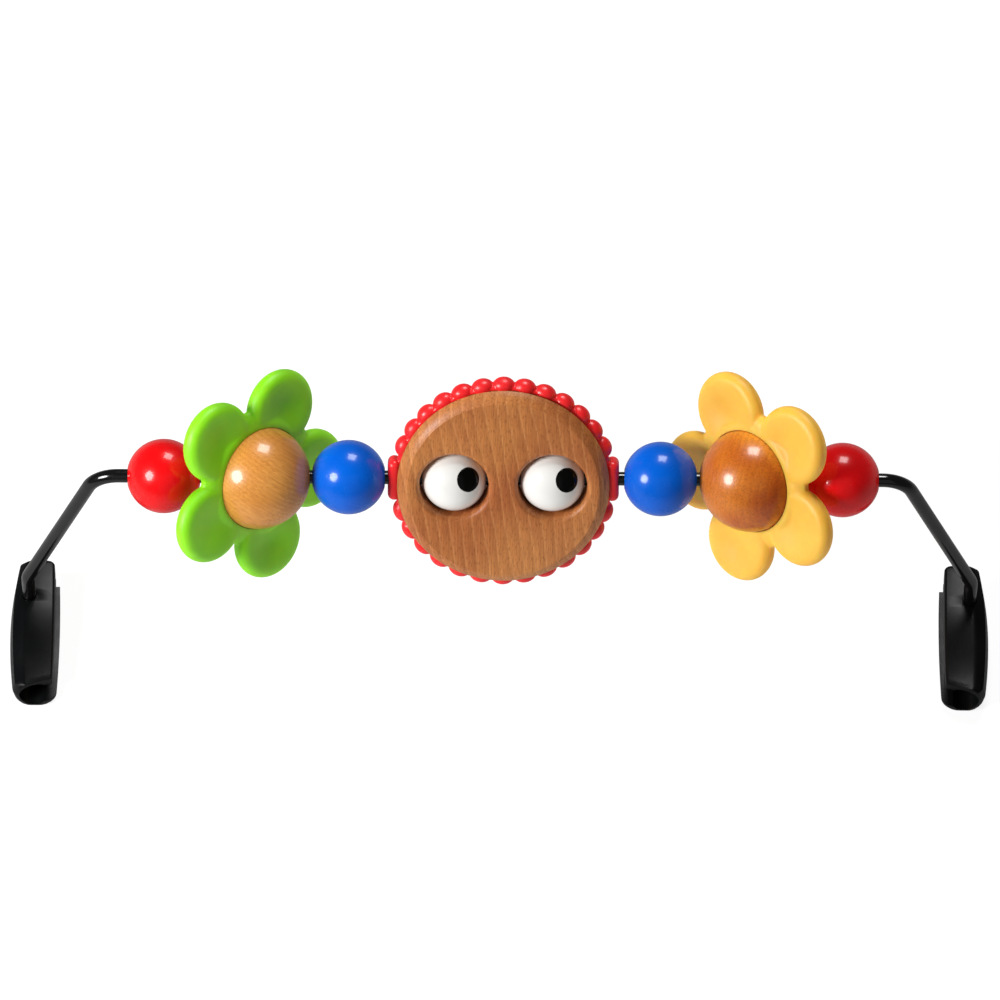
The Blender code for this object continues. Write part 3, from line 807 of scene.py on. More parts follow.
@dataclass
class Bar(Assembly):
    """The bent wire from clip to clip."""

    finish: Tinted
    socket_x: float = SOCKET_X
    shoulder_x: float = 175.893 * MM
    foot: float = 15.9 * MM
    ankle_height: float = 36.9 * MM
    ankle_radius: float = 12.0 * MM
    shoulder_radius: float = 14.0 * MM
    ankle_steps: int = 10
    shoulder_steps: int = 20
    sides: int = 32

    def make(self) -> None:
        """Model the wire from its left foot to its right one."""
        run, rise = self.socket_x - self.shoulder_x, self.axle.height - self.ankle_height
        slope = math.atan2(rise, run)
        ankle_turn = math.pi / 2 - slope
        ankle_cut = self.ankle_radius * math.tan(ankle_turn / 2)
        shoulder_cut = self.shoulder_radius * math.tan(slope / 2)
        leg = math.hypot(run, rise) - ankle_cut - shoulder_cut
        ankle_x, ankle_z = self.socket_x - self.ankle_radius, self.ankle_height - ankle_cut
        top, top_z = self.shoulder_x - shoulder_cut, self.axle.height - self.shoulder_radius
        up, ahead = Vector((0, 0, ankle_z - self.foot)), Vector((2 * top, 0, 0))
        rising, falling = (
            Vector((math.cos(slope), 0, sign * math.sin(slope))) * leg for sign in (1, -1)
        )
        # Each straight, then the centre, angle and steps of the bend at its end
        course = (
            (up, -ankle_x, ankle_z, ankle_turn, self.ankle_steps),
            (rising, -top, top_z, slope, self.shoulder_steps),
            (ahead, top, top_z, slope, self.shoulder_steps),
            (falling, ankle_x, ankle_z, ankle_turn, self.ankle_steps),
        )
        y, foot = self.axle.y, (-self.socket_x, self.axle.y, self.foot)
        size = {"vertices": self.sides, "radius": self.axle.wire / 2, "fill_type": "NGON"}
        piece = add(bpy.ops.mesh.primitive_circle_add, "steel_bar_skin", location=foot, **size)
        with editing(piece):
            bpy.ops.mesh.select_all(action="SELECT")
            for straight, x, z, angle, steps in course:
                push(straight)
                bpy.ops.mesh.spin(steps=steps, angle=-angle, center=(x, y, z), axis=(0, 1, 0))
            push(-up)
            close_up()
        self.dress(piece, "bar", self.finish, "bar")


@dataclass
class Bead(Assembly):
    """A lacquered bead on the bar."""

    body: str
    x: float
    finish: Tinted
    slot: str
    radius: float = 16.25 * MM
    rings: int = 48

    def make(self) -> None:
        """Model the bead."""
        place = self.axle.spindle(self.x)
        piece = self.bored_ball(f"{self.body}_skin", self.radius, place, self.rings)
        self.dress(piece, self.body, self.finish, self.slot)


@dataclass
class Flower(Assembly):
    """A wooden ball in a slanted ring of five dished petals."""

    side: Side
    x: float
    wood: Timber
    petal_finish: Tinted
    ball_radius: float = 22.85 * MM
    ball_rings: int = 60
    gap: float = 0.3 * MM
    slant: float = math.radians(48)
    lift: float = math.radians(38.3)
    first_petal: float = math.radians(-7)
    petals: int = 5
    petal_radius: float = 17.77 * MM
    petal_offset: float = 31.0 * MM
    petal_sides: int = 72
    dish_steps: int = 14
    rim_steps: int = 20
    set_back: float = 1.0 * MM
    rim: float = 8.0 * MM
    web: float = 4.4 * MM
    hub_sides: int = 64
    ridge_offset: float = 24.4 * MM
    ridge_radius: float = 6.4 * MM
    ridge_height: float = 3.9 * MM
    ridge_sides: int = 32
    collar_radius: float = 24.2 * MM
    collar_foot: float = 28.2 * MM
    collar_steps: int = 8
    collar_sides: int = 96
    hollow_sides: int = 120
    voxel: float = 0.5 * MM
    melting: int = 9
    shading: float = math.radians(40)

    def spoke(self, number: float) -> Vector:
        """Give the way in the ring's plane that a petal points, or a place between two."""
        angle = -self.side.value * (self.first_petal + math.tau * number / self.petals)
        return Vector((math.cos(angle), math.sin(angle), 0))

    def half_thickness(self, share: float) -> float:
        """Give half of the petal's thickness at a share of the way from its web to its rim."""
        low, high = self.web / 2, self.rim / 2
        return low + (high - low) * (1 - math.cos(math.pi * share)) / 2

    def petal_outline(self) -> Outline:
        """Draw a dished petal with a full round rim.

        Returns:
            Its outline for the lathe.
        """
        rim = self.rim / 2
        crest = self.petal_radius - rim
        shares = [step / self.dish_steps for step in range(self.dish_steps)]
        dish = [(crest * share, self.half_thickness(share)) for share in shares]
        edge = arc((crest, 0), rim, math.pi / 2, -math.pi / 2, self.rim_steps)
        return [*dish, *edge, *underside(dish)]

    def collar_outline(self) -> Outline:
        """Draw the collar, which slopes from the ball down into the dishes.

        Returns:
            Its outline for the lathe.
        """
        near, width = self.collar_radius, self.collar_foot - self.collar_radius
        shares = [step / self.collar_steps for step in range(self.collar_steps + 1)]
        slope = [(near + width * share, self.half_thickness(1 - share)) for share in shares]
        front = [(0, self.rim / 2), *slope]
        return [*front, *underside(front)]

    def make_ball(self) -> None:
        """Model the wooden ball."""
        word, place = self.side.word, self.axle.spindle(self.x, self.lift)
        name = f"flower_ball_{word}_skin"
        piece = self.bored_ball(name, self.ball_radius, place, self.ball_rings)
        self.dress(piece, f"flower_{word}", self.wood, f"wood_{word}")

    def make_petals(self) -> None:
        """Model the ring of petals as one moulding with a round hole for the ball."""
        word, thick = self.side.word, self.web / 3
        hub = rod(f"petals_{word}_skin", self.petal_offset, -thick, thick, self.hub_sides)
        shapes = [hub, turn("collar", self.collar_outline(), self.collar_sides)]
        ridge_size = Matrix.Diagonal((self.ridge_radius, self.ridge_radius, self.ridge_height, 1))
        for number in range(self.petals):
            petal = turn("petal", self.petal_outline(), self.petal_sides)
            spot = Matrix.Translation(self.spoke(number) * self.petal_offset)
            shapes.append(seat(petal, spot))
            spot = Matrix.Translation(self.spoke(number + 1 / 2) * self.ridge_offset)
            shapes.append(seat(ball("ridge", 1, self.ridge_sides), spot @ ridge_size))
        piece = fuse(shapes, self.voxel, self.melting)
        sign = self.side.value
        look = Vector((-sign * math.cos(self.slant), -math.sin(self.slant), 0))
        uphill = Vector((-sign * math.sin(self.slant), math.cos(self.slant), 0))
        spindle, ring = self.axle.spindle(self.x, self.lift), facing(look, uphill)
        seat(piece, spindle @ Matrix.Translation(look * -self.set_back) @ ring)
        hollow = ball("ball_hollow", self.ball_radius + self.gap, self.hollow_sides)
        carve(piece, seat(hollow, spindle @ ring))
        self.dress(piece, f"flower_{word}", self.petal_finish, f"petal_{word}", self.shading)

    def make(self) -> None:
        """Model the flower."""
        self.make_ball()
        self.make_petals()


@dataclass
class Face(Assembly):
    """The round wooden face and the soft red band round its rim."""

    wood: Timber
    band_finish: Tinted
    tilt: float = math.radians(32)
    drop: float = 1.4 * MM
    radius: float = 46.2 * MM
    thickness: float = 18.6 * MM
    bevel_width: float = 4.4 * MM
    bevel_depth: float = 4.1 * MM
    bevel_steps: int = 10
    shoulder_steps: int = 4
    swell: float = 0.28 * MM
    bevel_ease: float = 0.3 * MM
    back_land: float = 4.2 * MM
    seat_depth: float = 1.0 * MM
    gap: float = 0.3 * MM
    hole_radius: float = 15.05 * MM
    waist_radius: float = 14.6 * MM
    waist_height: float = 0.3 * MM
    waist_slope: float = 0.8 * MM
    hole_ease: float = 2.6 * MM
    hole_steps: int = 10
    hole_sides: int = 96
    eye_spacing: float = EYE_SPACING
    band_width: float = 9.6 * MM
    hoop_wall: float = 1.7 * MM
    hoop_width: float = 6.0 * MM
    bump_height: float = 4.0 * MM
    bump_root: float = 3.9 * MM
    bump_width: float = 8.3 * MM
    bump_gap: float = -0.7 * MM
    bump_sides: int = 32
    melt: float = 0.03 * MM
    bumps_per_side: int = 13
    boss_half_angle: float = math.radians(14)
    boss_height: float = 4.1 * MM
    boss_length: float = 19.2 * MM
    boss_rounding: float = 2.8 * MM
    boss_steps: int = 6
    boss_angle: float = math.radians(30)
    steps: int = 200
    overrun: float = 4.0 * MM
    voxel: float = 0.32 * MM
    melting: int = 3
    wood_shading: float = math.radians(28)
    band_shading: float = math.radians(45)

    @property
    def outward(self) -> Matrix:
        """The turn that points Z out of the face."""
        return facing(Vector((0, -1, 0)), Vector((1, 0, 0)))

    @property
    def hub(self) -> Matrix:
        """The place of the face's hub on the bar."""
        return self.axle.spindle(self.axle.middle, self.tilt)

    @property
    def disc(self) -> Matrix:
        """The place of the disc, whose centre is below the bar."""
        return self.hub @ Matrix.Translation((0, 0, -self.drop)) @ self.outward

    def disc_outline(self) -> Outline:
        """Draw the disc, with a swollen bevel in front, a seat for the band and a plain back.

        Returns:
            Its outline for the lathe.
        """
        half, width, depth = self.thickness / 2, self.bevel_width, self.bevel_depth
        flat, low = self.radius - width, self.radius - self.seat_depth
        seat_half = self.band_width / 2 + self.gap
        slope = math.atan2(depth, width)
        ease = self.bevel_ease / math.tan(slope / 2)
        top, shoulder_at = math.pi / 2, (flat - self.bevel_ease, half - ease)
        shoulder = arc(shoulder_at, ease, top, top - slope, self.shoulder_steps)
        bevel = []
        for step in range(1, self.bevel_steps):
            share = step / self.bevel_steps
            bulge = self.swell * math.sin(math.pi * share)
            bevel.append((flat + width * share + bulge, half - depth * share + bulge))
        rim = [(self.radius, half - depth), (self.radius, seat_half)]
        foot = [(low, seat_half), (low, -self.back_land)]
        return [(0, half), *shoulder, *bevel, *rim, *foot, *underside(shoulder), (0, -half)]

    def hole_outline(self) -> Outline:
        """Draw the tool that cuts an eye hole with rounded edges and a waist.

        Returns:
            Its outline for the lathe.
        """
        half, ease = self.thickness / 2, self.hole_ease
        wide = self.hole_radius + ease
        rounding_at = (wide, half + self.gap / 4 - ease)
        rounding = arc(rounding_at, ease, math.pi / 2, math.pi, self.hole_steps)
        top = [
            (0, half + self.overrun),
            (wide, half + self.overrun),
            *rounding,
            (self.hole_radius, self.waist_height + self.waist_slope),
            (self.waist_radius, self.waist_height),
        ]
        return [*top, *underside(top)]

    def bore(self) -> Piece:
        """Add the tool that bores the face from side to side.

        Returns:
            The tool.
        """
        reach = self.radius + self.boss_height + self.overrun
        tool = rod("bore", self.axle.bore_radius, -reach, reach, BORE_STEPS)
        return seat(tool, self.hub @ ALONG_BAR)

    def make_disc(self) -> None:
        """Model the wooden disc."""
        piece = seat(turn("face_disc_skin", self.disc_outline(), self.steps), self.disc)
        for side in Side:
            hole = turn("hole", self.hole_outline(), self.hole_sides)
            shift = Matrix.Translation((side.value * self.eye_spacing / 2, 0, 0))
            carve(piece, seat(hole, self.hub @ shift @ self.outward))
        carve(piece, self.bore())
        self.dress(piece, "face", self.wood, "face_wood", self.wood_shading)

    def bump_places(self) -> Iterator[Pair]:
        """Place the bumps from pad to pad, above and below.

        Returns:
            Each bump's angle and pitch in turn.
        """
        rise = math.asin(self.drop / self.radius)
        for start, lean in ((0, rise), (math.pi, -rise)):
            first = self.boss_half_angle + lean
            pitch = (math.pi - 2 * first) / self.bumps_per_side
            for bump in range(self.bumps_per_side):
                yield start + first + pitch * (bump + 0.5), pitch

    def make_bumps(self) -> Iterator[Piece]:
        """Model the bumps round the rim.

        Returns:
            Each bump in turn.
        """
        centre = self.radius + self.bump_height - self.bump_root + self.melt
        for angle, pitch in self.bump_places():
            width = centre * math.sin(pitch / 2) - self.bump_gap / 2
            size = Matrix.Diagonal((self.bump_root, width, self.bump_width / 2, 1))
            spot = Matrix.Rotation(angle, 4, "Z") @ Matrix.Translation((centre, 0, 0))
            yield seat(ball("bump", 1, self.bump_sides), self.disc @ spot @ size)

    def make_band(self) -> None:
        """Model the band with its bumps and the two pads that the bar goes through."""
        inner = self.radius - self.seat_depth + self.gap
        root, skin, ease = inner - self.overrun, inner + self.hoop_wall, self.hoop_wall / 2
        half, hoop, length = self.band_width / 2, self.hoop_width / 2, self.boss_length / 2
        outer = [(root, hoop), (skin - ease, hoop), (skin, hoop - ease)]
        ring = turn("rim_band_skin", [*outer, *underside(outer)], self.steps, closed=True)
        shapes = [seat(ring, self.disc), *self.make_bumps()]
        near, far = inner - self.overrun / 4, self.radius + self.boss_height
        for side in Side:
            out = (side.value * near, side.value * far)
            boss = block("boss", out, (-length, length), (-half, half))
            round_edges(boss, self.boss_rounding, self.boss_steps, self.boss_angle)
            shapes.append(seat(boss, self.hub @ self.outward))
        piece = fuse(shapes, self.voxel, self.melting)
        core = rod("core", inner, -half - self.overrun, half + self.overrun, self.steps)
        carve(piece, seat(core, self.disc), self.bore())
        self.dress(piece, "face", self.band_finish, "band_red", self.band_shading)

    def make(self) -> None:
        """Model the face."""
        self.make_disc()
        self.make_band()


@dataclass
class Eye(Assembly):
    """A white eyeball on the bar with a black pupil let into it."""

    side: Side
    white: Tinted
    black: Tinted
    spacing: float = EYE_SPACING
    radius: float = 14.35 * MM
    rings: int = 56
    pupil_radius: float = 5.3 * MM
    pupil_depth: float = 3.4 * MM
    pupil_fit: float = 0.12 * MM
    pupil_ease: float = 0.25 * MM
    pupil_sides: int = 80
    dome_steps: int = 12
    from_bar: float = math.radians(62.5)
    lift: float = math.radians(55)

    def make(self) -> None:
        """Model the eyeball and its pupil."""
        word, body, radius = self.side.word, f"eye_{self.side.word}", self.radius
        x = self.axle.middle + self.side.value * self.spacing / 2
        hub = self.axle.spindle(x, self.lift)
        eyeball = self.bored_ball(f"{body}_skin", radius, hub, self.rings)
        look = Vector((math.cos(self.from_bar), -math.sin(self.from_bar), 0))
        aim = hub @ facing(look, Vector((0, 0, 1)))
        floor, wide = radius - self.pupil_depth, self.pupil_radius + self.pupil_fit
        recess = rod("recess", wide, floor, radius + self.axle.ease, self.pupil_sides)
        carve(eyeball, seat(recess, aim))
        self.dress(eyeball, body, self.white, "eye_white")
        edge, top = math.asin((self.pupil_radius - self.pupil_ease) / radius), math.pi / 2
        dome = arc((0, 0), radius, top, top - edge, self.dome_steps)
        side = (self.pupil_radius, radius * math.cos(edge) - self.pupil_ease)
        outline = [*dome, side, (self.pupil_radius, floor), (0, floor)]
        pupil = seat(turn(f"pupil_{word}_skin", outline, self.pupil_sides), aim)
        self.dress(pupil, body, self.black, "pupil_black")


@dataclass
class Clip(Assembly):
    """A clip with a channel for the bouncer's side tube."""

    side: Side
    finish: Tinted
    socket_x: float = SOCKET_X
    socket_offset: float = 2.5 * MM
    length: float = 64.0 * MM
    behind_bar: float = 19.0 * MM
    tube_radius: float = 6.25 * MM
    tube_sides: int = 64
    channel_height: float = 8.25 * MM
    height: float = 16.5 * MM
    crown: float = 4.9 * MM
    belly: float = 11.2 * MM
    outer: float = 9.25 * MM
    inner: float = 8.95 * MM
    lip: float = 10.85 * MM
    lip_start: float = 5.0 * MM
    slit_height: float = 7.8 * MM
    mouth_skew: float = 5.0 * MM
    socket_radius: float = 3.3 * MM
    socket_depth: float = 5.8 * MM
    socket_sides: int = 48
    outer_shares: Pair = (0.8, 0.7)
    inner_shares: Pair = (0.92, 0.92)
    corner: float = 5.0 * MM
    belly_rounding: float = 6.0 * MM
    shoulder_reach: float = 0.3 * MM
    shoulder_drop: float = 1.7 * MM
    roof_slope: float = 4.2 * MM
    roof_edge: float = 1.3 * MM
    roof_rounding: float = 4.0 * MM
    noses: Pair = (4.5 * MM, 2.8 * MM)
    nose_least: float = 0.45
    nose_power: float = 2.5
    nose_height: float = 1.6 * MM
    nose_steps: int = 7
    spans: int = 20
    back_fall: float = 0.75
    overrun: float = 4.0 * MM
    edge: float = 0.5 * MM
    edge_steps: int = 3
    edge_angle: float = math.radians(34)
    shading: float = math.radians(40)

    @property
    def ends(self) -> Pair:
        """The places of the clip's front and back behind the bar."""
        return self.behind_bar - self.length, self.behind_bar

    def section(self) -> list[Vector]:
        """Draw the outline across the channel, in the plane at the bar.

        Returns:
            Its points, with the outer side towards the end of the bar.
        """
        mid, high = self.channel_height, self.height
        corners = [
            (-self.lip, 0, self.corner, 8),
            (self.outer, 0, self.corner, 8),
            (self.belly, mid, self.belly_rounding, 6),
            (self.outer + self.shoulder_reach, high - self.shoulder_drop, self.roof_edge / 4, 3),
            (self.outer - self.roof_slope, high, self.roof_rounding * 2, 8),
            (-self.inner, high, self.roof_edge, 4),
            (-self.inner, mid, 0, 0),
            (-self.lip, mid, 0, 0),
        ]
        sign = self.side.value
        return filleted([(Vector((sign * x, 0, z)), ease, steps) for x, z, ease, steps in corners])

    def share(self, shares: Pair, y: float) -> float:
        """Give a side's share of its full width, from its shares at the front and the back."""
        along = 2 * (y - sum(self.ends) / 2) / self.length
        return 1 - (1 - shares[along > 0]) * along**2

    def crown_at(self, y: float) -> float:
        """Give how much the roof rises over the socket at a place behind the bar."""
        share = min(y / self.ends[0], 1) if y < 0 else y / -self.ends[0] * self.back_fall
        return self.crown * math.cos(math.pi / 2 * share) ** 2

    def stations(self) -> list[float]:
        """Choose where the clip's form is set, closest at its ends.

        Returns:
            The places behind the bar, from front to back.
        """
        front, back = self.ends
        turns = [math.pi / 2 * step / self.nose_steps for step in range(self.nose_steps)]
        fore, aft = ([nose * (1 - math.cos(angle)) for angle in turns] for nose in self.noses)
        first, last = front + self.noses[0], back - self.noses[1]
        body = [first + (last - first) * span / self.spans for span in range(self.spans + 1)]
        return [*(front + step for step in fore), *body, *(back - step for step in reversed(aft))]

    def nose_shares(self, y: float) -> Pair:
        """Give how much of its width and height the clip keeps near its ends.

        Args:
            y: The place behind the bar.

        Returns:
            The share of its width and that of its height from the channel's middle.
        """
        front, back = self.ends
        inwards, nose = min((y - front, self.noses[0]), (back - y, self.noses[1]))
        share, power = max(0.0, 1 - inwards / nose), self.nose_power
        width = max(self.nose_least, (1 - share**power) ** (1 / power))
        share = max(0.0, 1 - inwards / self.nose_height)
        return width, 1 - self.nose_height / self.channel_height * (1 - math.sqrt(1 - share**2))

    def shape_body(self) -> Piece:
        """Draw the section out along the clip and fit each station to the clip's form.

        Returns:
            The clip's body, still solid.
        """
        section, stations = self.section(), self.stations()
        piece = draw_line(f"clip_{self.side.word}_skin", [*section, section[0]])
        with editing(piece):
            weld()
            bpy.ops.mesh.edge_face_add()
            bpy.ops.transform.translate(value=(0, stations[0], 0))
            for here, there in zip(stations, stations[1:]):
                push(Vector((0, there - here, 0)))
            for y in stations:
                self.fit_station(piece, y)
            close_up()
        return piece

    def fit_station(self, piece: Piece, y: float) -> None:
        """Narrow one station on each side and raise its roof.

        Args:
            piece: The clip that is being edited.
            y: The station's place behind the bar.
        """
        near = min(self.noses) * (1 - math.cos(math.pi / 2 / self.nose_steps)) / 3
        centre, sign = (0, y, self.channel_height), self.side.value
        width, height = self.nose_shares(y)
        for outer, shares in ((True, self.outer_shares), (False, self.inner_shares)):
            choose(piece, lambda co: abs(co.y - y) < near and (co.x * sign > 0) == outer)
            size = (self.share(shares, y) * width, 1, height)
            bpy.ops.transform.resize(value=size, center_override=centre)
        choose(piece, lambda co: abs(co.y - y) < near and co.z > self.channel_height + WELD)
        lift = 1 + self.crown_at(y) / (self.height - self.channel_height)
        bpy.ops.transform.resize(value=(1, 1, lift), center_override=centre)

    def cut_body(self, piece: Piece) -> None:
        """Cut the channel, slit, mouth and socket.

        Args:
            piece: The clip's body.
        """
        (front, back), sign = self.ends, self.side.value
        past, mid = self.overrun, self.channel_height
        channel = rod("channel", self.tube_radius, front - past, back + past, self.tube_sides)
        along = Matrix.Translation((0, 0, mid)) @ Matrix.Rotation(-math.pi / 2, 4, "X")
        half, far = self.slit_height / 2, -sign * (self.lip + past)
        slit = block("slit", (0, far), (front - past, back + past), (mid - half, mid + half))
        top = self.height + self.crown
        mouth = block(
            "mouth", (-self.length, self.length), (front - self.length, front), (mid, top + past)
        )
        pivot = Vector((sign * self.outer, front, 0))
        skew = math.atan2(self.mouth_skew, self.outer + self.inner)
        swing = Matrix.Rotation(-sign * skew, 4, "Z")
        seat(mouth, Matrix.Translation(pivot) @ swing @ Matrix.Translation(-pivot))
        wall = -sign * self.inner * self.inner_shares[1]
        lip_end = block("lip_end", (wall, far), (back - self.lip_start, back + past), (-past, mid))
        depth = (top - self.socket_depth, top + past)
        socket = rod("socket", self.socket_radius, *depth, self.socket_sides)
        seat(socket, Matrix.Translation((sign * self.socket_offset, 0, 0)))
        carve(piece, seat(channel, along), slit, mouth, lip_end, socket)

    def make(self) -> None:
        """Model the clip."""
        piece = self.shape_body()
        self.cut_body(piece)
        round_edges(piece, self.edge, self.edge_steps, self.edge_angle)
        x = self.side.value * (self.socket_x - self.socket_offset)
        seat(piece, Matrix.Translation((x, self.axle.y, 0)))
        self.dress(piece, "bar", self.finish, "clip_black", self.shading)


class Screen(Enum):
    """The two shapes of a soft light."""

    SQUARE = "SQUARE"
    ROUND = "DISK"


@dataclass(frozen=True)
class Softbox:
    """A soft light that looks at the toy from one way and distance, with a width and watts."""

    name: str
    way: Triple
    distance: float
    size: float
    power: float
    screen: Screen = Screen.SQUARE

    def make(self, target: Vector) -> None:
        """Set up the light.

        Args:
            target: Where it looks.
        """
        light = bpy.data.lights.new(self.name, "AREA")
        light.shape, light.size, light.energy = self.screen.value, self.size, self.power
        holder = bpy.data.objects.new(self.name, light)
        bpy.context.scene.collection.objects.link(holder)
        way = Vector(self.way)
        holder.location = target + way.normalized() * self.distance
        holder.rotation_euler = way.to_track_quat("Z", "Y").to_euler()


SOFTBOXES = (
    Softbox("key", (0.118, 0.566, 0.819), 1.6, 0.58, 15),
    Softbox("left", (-0.76, -0.333, 0.554), 1.0, 0.42, 10.5, Screen.ROUND),
    Softbox("front", (0.1, -0.75, 0.6), 2.6, 2.6, 3),
)


@dataclass
class Studio:
    """A plain pale floor, soft lights and the camera at the photograph's angle."""

    axle: Axle
    elevation: float = math.radians(59)
    roll: float = math.radians(0.34)
    distance: float = 4.5
    pixels_per_radian: float = 10345
    frame_pixels: int = 1000
    bar_pixel: Pair = (500.2, 478.0)
    sensor: float = 36.0
    sight: float = 50
    room_light: float = 0.06
    table_size: float = 30
    table_tone: float = 0.25
    table_roughness: float = 0.9
    table_specular: float = 0.1
    table_glow: float = 0.86
    mirrored_glow: float = 0.06

    def make_camera(self) -> None:
        """Set the camera where the bar falls on its pixel of the photograph."""
        metres = self.distance / self.pixels_per_radian
        x, y = ((self.frame_pixels / 2 - pixel) * metres for pixel in self.bar_pixel)
        lean = Matrix.Rotation(math.pi / 2 - self.elevation, 4, "X")
        look = lean @ Matrix.Rotation(self.roll, 4, "Z")
        bar = Matrix.Translation(self.axle.point(0))
        camera = bpy.data.cameras.new("camera")
        camera.sensor_width = self.sensor
        camera.lens = self.sensor * self.pixels_per_radian / self.frame_pixels
        camera.clip_end = self.sight
        holder = bpy.data.objects.new("camera", camera)
        bpy.context.scene.collection.objects.link(holder)
        holder.matrix_world = bar @ look @ Matrix.Translation((x, -y, self.distance))
        bpy.context.scene.camera = holder

    def make_room(self) -> None:
        """Make the room round the toy: dim to light it by, and pale to look at."""
        world = bpy.data.worlds.new("studio")
        world.use_nodes = True
        room = Graph(world.node_tree)
        looked_at = room.add("LightPath").outputs["Is Camera Ray"]
        strength = room.span(looked_at, 0, 1, (self.room_light, 1))
        background = world.node_tree.nodes["Background"]
        room.fill(background, {"Color": (1, 1, 1, 1), "Strength": strength})
        bpy.context.scene.world = world

    def make_table(self) -> None:
        """Make the pale table, which glows evenly as a lit one does."""
        floor = add(bpy.ops.mesh.primitive_plane_add, "floor", size=self.table_size)
        paper = bpy.data.materials.new("floor_paper")
        paper.use_nodes = True
        table = Graph(paper.node_tree)
        mirrored = table.add("LightPath").outputs["Is Glossy Ray"]
        values = {
            "Base Color": (self.table_tone, self.table_tone, self.table_tone, 1),
            "Roughness": self.table_roughness,
            "Specular IOR Level": self.table_specular,
            "Emission Color": (1, 1, 1, 1),
            "Emission Strength": table.span(mirrored, 0, 1, (self.table_glow, self.mirrored_glow)),
        }
        table.fill(paper.node_tree.nodes["Principled BSDF"], values)
        floor.data.materials.append(paper)
        floor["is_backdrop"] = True

    def make(self) -> None:
        """Build the studio."""
        self.make_camera()
        for softbox in SOFTBOXES:
            softbox.make(Vector((0, 0, self.axle.height)))
        self.make_room()
        self.make_table()


# How each piece looks

LACQUER = Tinted(
    "lacquer",
    roughness=(0.24, 0.32),
    specular=0.2,
    coat=0.35,
    coat_roughness=0.07,
    grit=700,
    grit_depth=0.03 * MM,
)
BEADS = {
    "red_bead": ("red_lacquer", (230, 12, 18), (222, 8, 14)),
    "blue_bead": ("blue_lacquer", (0, 98, 214), (0, 90, 204)),
}
BALL_WOOD = Timber("ball_wood", roughness=(0.26, 0.36), coat=0.45, coat_roughness=0.09)
WOODS = {
    Side.LEFT: replace(
        BALL_WOOD,
        name="pale_wood",
        turn=(0, math.radians(128), math.radians(-10)),
        light=(246, 202, 136),
        pale=(236, 172, 90),
        middle=(222, 148, 64),
        dark=(168, 92, 32),
        band_spacing=1.9 * MM,
        pith=(0.037, -0.053, 0),
        # Painted shade: a darker brown towards the ball's right, where it lies in shade.
        drift_tone=(166, 92, 46),
        drift_way=(-0.606, 0.174, 0.776),
        drift_span=(0.009, 0.023),
        drift_strength=0.7,
        bands=0.2,
        lines=0.12,
        fibres=0.34,
        flecks=0.2,
    ),
    Side.RIGHT: replace(
        BALL_WOOD,
        name="brown_wood",
        turn=(0, math.radians(-35), math.radians(25)),
        light=(240, 166, 80),
        pale=(236, 142, 44),
        middle=(190, 82, 16),
        dark=(128, 50, 10),
        band_spacing=2.4 * MM,
        pith=(-0.03, 0.03, 0),
        # Painted bounce light: a golden tone towards one side of the ball, standing for light
        # thrown back from the yellow petals.
        drift_tone=(255, 172, 52),
        drift_way=(0.92, 0.37, -0.14),
        drift_span=(0.006, 0.022),
        drift_strength=0.8,
        bands=0.12,
        lines=0.06,
        fibres=0.26,
        flecks=0.32,
    ),
}
SOFT_PLASTIC = Tinted(
    "petals",
    roughness=(0.44, 0.54),
    specular=0.55,
    grit=1800,
    grit_depth=0.02 * MM,
    subsurface=0.5,
    subsurface_depth=5 * MM,
)
PETALS = {
    Side.LEFT: replace(
        SOFT_PLASTIC,
        name="green_petals",
        colour=(150, 230, 18),
        shade=(136, 222, 12),
        subsurface_reach=(0.6, 1.0, 0.2),
    ),
    Side.RIGHT: replace(
        SOFT_PLASTIC,
        name="yellow_petals",
        colour=(252, 197, 72),
        shade=(250, 189, 62),
        subsurface_reach=(1.0, 0.4, 0.12),
    ),
}
DISC_WOOD = Timber(
    "face_wood",
    roughness=(0.36, 0.46),
    specular=0.28,
    coat=0.06,
    coat_roughness=0.3,
    turn=(math.radians(-32), 0, 0),
    light=(230, 170, 110),
    pale=(212, 138, 74),
    middle=(182, 104, 56),
    dark=(108, 54, 26),
    band_spacing=4.6 * MM,
    waviness=2.0,
    curve=0.45,
    pith=(-0.12, 0.03, -0.1),
    # A golden tone towards the lower right of the disc.
    drift_tone=(222, 150, 88),
    drift_way=(0.6, 0, -0.8),
    drift_span=(0.014, 0.048),
    drift_strength=0.6,
    bands=0.18,
    lines=0.26,
    fibres=0.26,
    flecks=0.34,
)
BAND = Tinted(
    "red_band",
    roughness=(0.28, 0.38),
    grit=1500,
    colour=(250, 42, 46),
    shade=(246, 34, 38),
    subsurface=0.08,
    subsurface_depth=1 * MM,
)
EYE_WHITE = Tinted(
    "eye_white",
    roughness=(0.12, 0.18),
    coat=0.3,
    grit_depth=0.004 * MM,
    colour=(242, 241, 237),
    shade=(238, 237, 232),
)
PUPIL_BLACK = Tinted(
    "pupil_black",
    roughness=(0.08, 0.14),
    specular=0.2,
    grit_depth=0.004 * MM,
    colour=(9, 9, 8),
    shade=(6, 6, 5),
)
COATING = Tinted(
    "bar_coating",
    roughness=(0.12, 0.2),
    coat=0.5,
    grit=3000,
    colour=(13, 13, 14),
    shade=(9, 9, 10),
)
MOULDING = Tinted(
    "clip_black",
    roughness=(0.28, 0.34),
    specular=0.14,
    grit=4200,
    grit_depth=0.012 * MM,
    colour=(11, 12, 13),
    shade=(8, 9, 10),
)


def on_side(finish: Finish, side: Side) -> Finish:
    """Give one side's own copy of a finish that both sides have."""
    return replace(finish, name=f"{finish.name}_{side.word}")


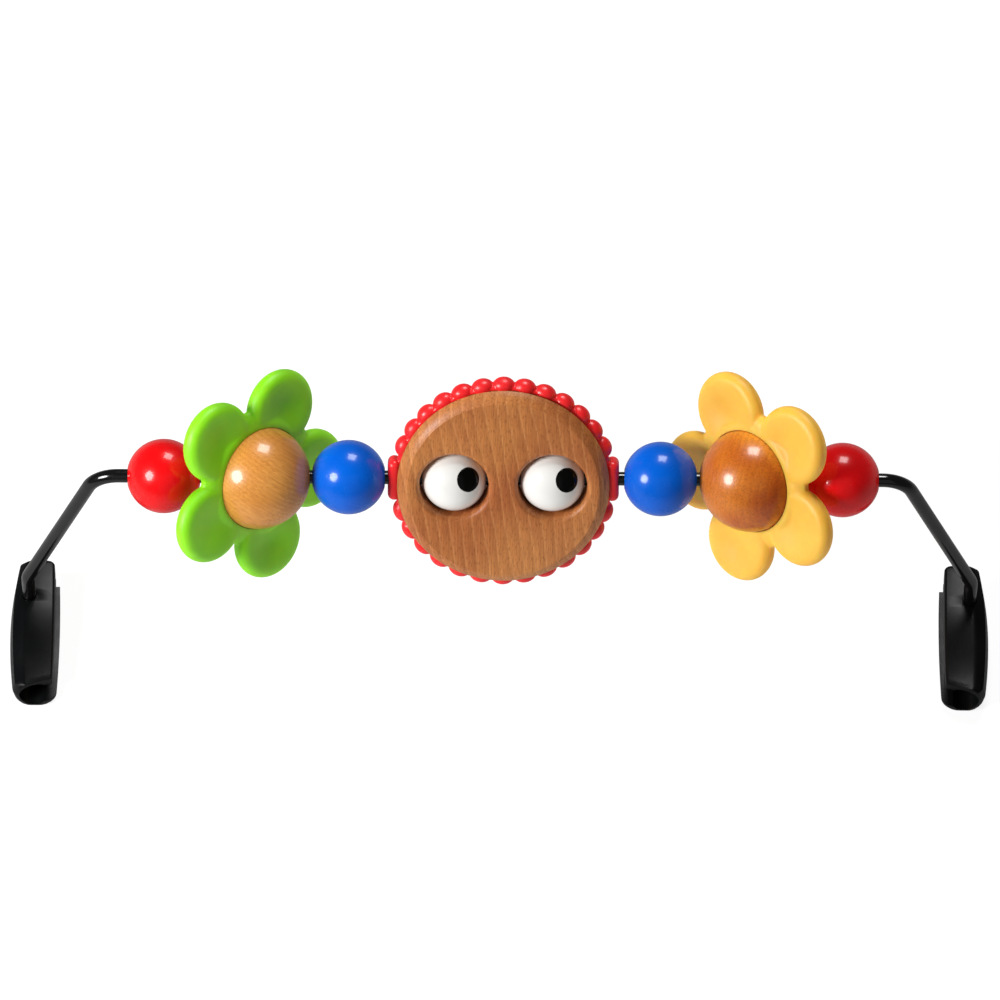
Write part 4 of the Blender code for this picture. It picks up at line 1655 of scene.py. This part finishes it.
@dataclass
class ToyBar(Assembly):
    """The whole toy."""

    places: dict[str, float]

    def make_ends(self) -> None:
        """Model the bar and its clips."""
        Bar(self.axle, self.effects, COATING).make()
        for side in Side:
            Clip(self.axle, self.effects, side, on_side(MOULDING, side)).make()

    def make_beads(self) -> None:
        """Model the four beads."""
        for kind, (slot, colour, shade) in BEADS.items():
            for side in Side:
                body = f"{kind}_{side.word}"
                x = self.places[body]
                lacquer = replace(
                    LACQUER,
                    name=f"{slot}_{side.word}",
                    colour=colour,
                    shade=shade,
                    centre=self.axle.point(x),
                )
                Bead(self.axle, self.effects, body, x, lacquer, slot).make()

    def make_flowers(self) -> None:
        """Model the two flowers, each in its own wood and colour."""
        for side in Side:
            x = self.places[f"flower_{side.word}"]
            centre = self.axle.point(x)
            wood, petals = (replace(table[side], centre=centre) for table in (WOODS, PETALS))
            Flower(self.axle, self.effects, side, x, wood, petals).make()

    def make_face(self) -> None:
        """Model the face, its band and the eyes."""
        wood = replace(DISC_WOOD, centre=self.axle.point(self.axle.middle))
        Face(self.axle, self.effects, wood, BAND).make()
        for side in Side:
            finishes = (on_side(finish, side) for finish in (EYE_WHITE, PUPIL_BLACK))
            Eye(self.axle, self.effects, side, *finishes).make()

    def make(self) -> None:
        """Model every sub-assembly."""
        self.make_ends()
        self.make_beads()
        self.make_flowers()
        self.make_face()


def corners(box: Sequence[Vector]) -> list[list[float]]:
    """Turn a box's lowest and highest corners into plain lists of numbers."""
    return [[float(value) for value in corner] for corner in box]


def main() -> None:
    """Load the frame, dress every node and set up the studio."""
    logging.basicConfig(level=logging.INFO, format="%(message)s")
    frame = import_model()
    solid_box = corners(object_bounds())
    places = {joint["child"]: joint["pos_m"] for joint in frame["joints"]}
    axle = Axle(*places["face"])
    ToyBar(axle, Effects(), {body: place[0] for body, place in places.items()}).make()
    Studio(axle).make()
    bpy.context.scene.view_settings.view_transform = "Standard"
    sizes = {"cad": solid_box, "visual": corners(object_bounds())}


if __name__ == "__main__":
    main()
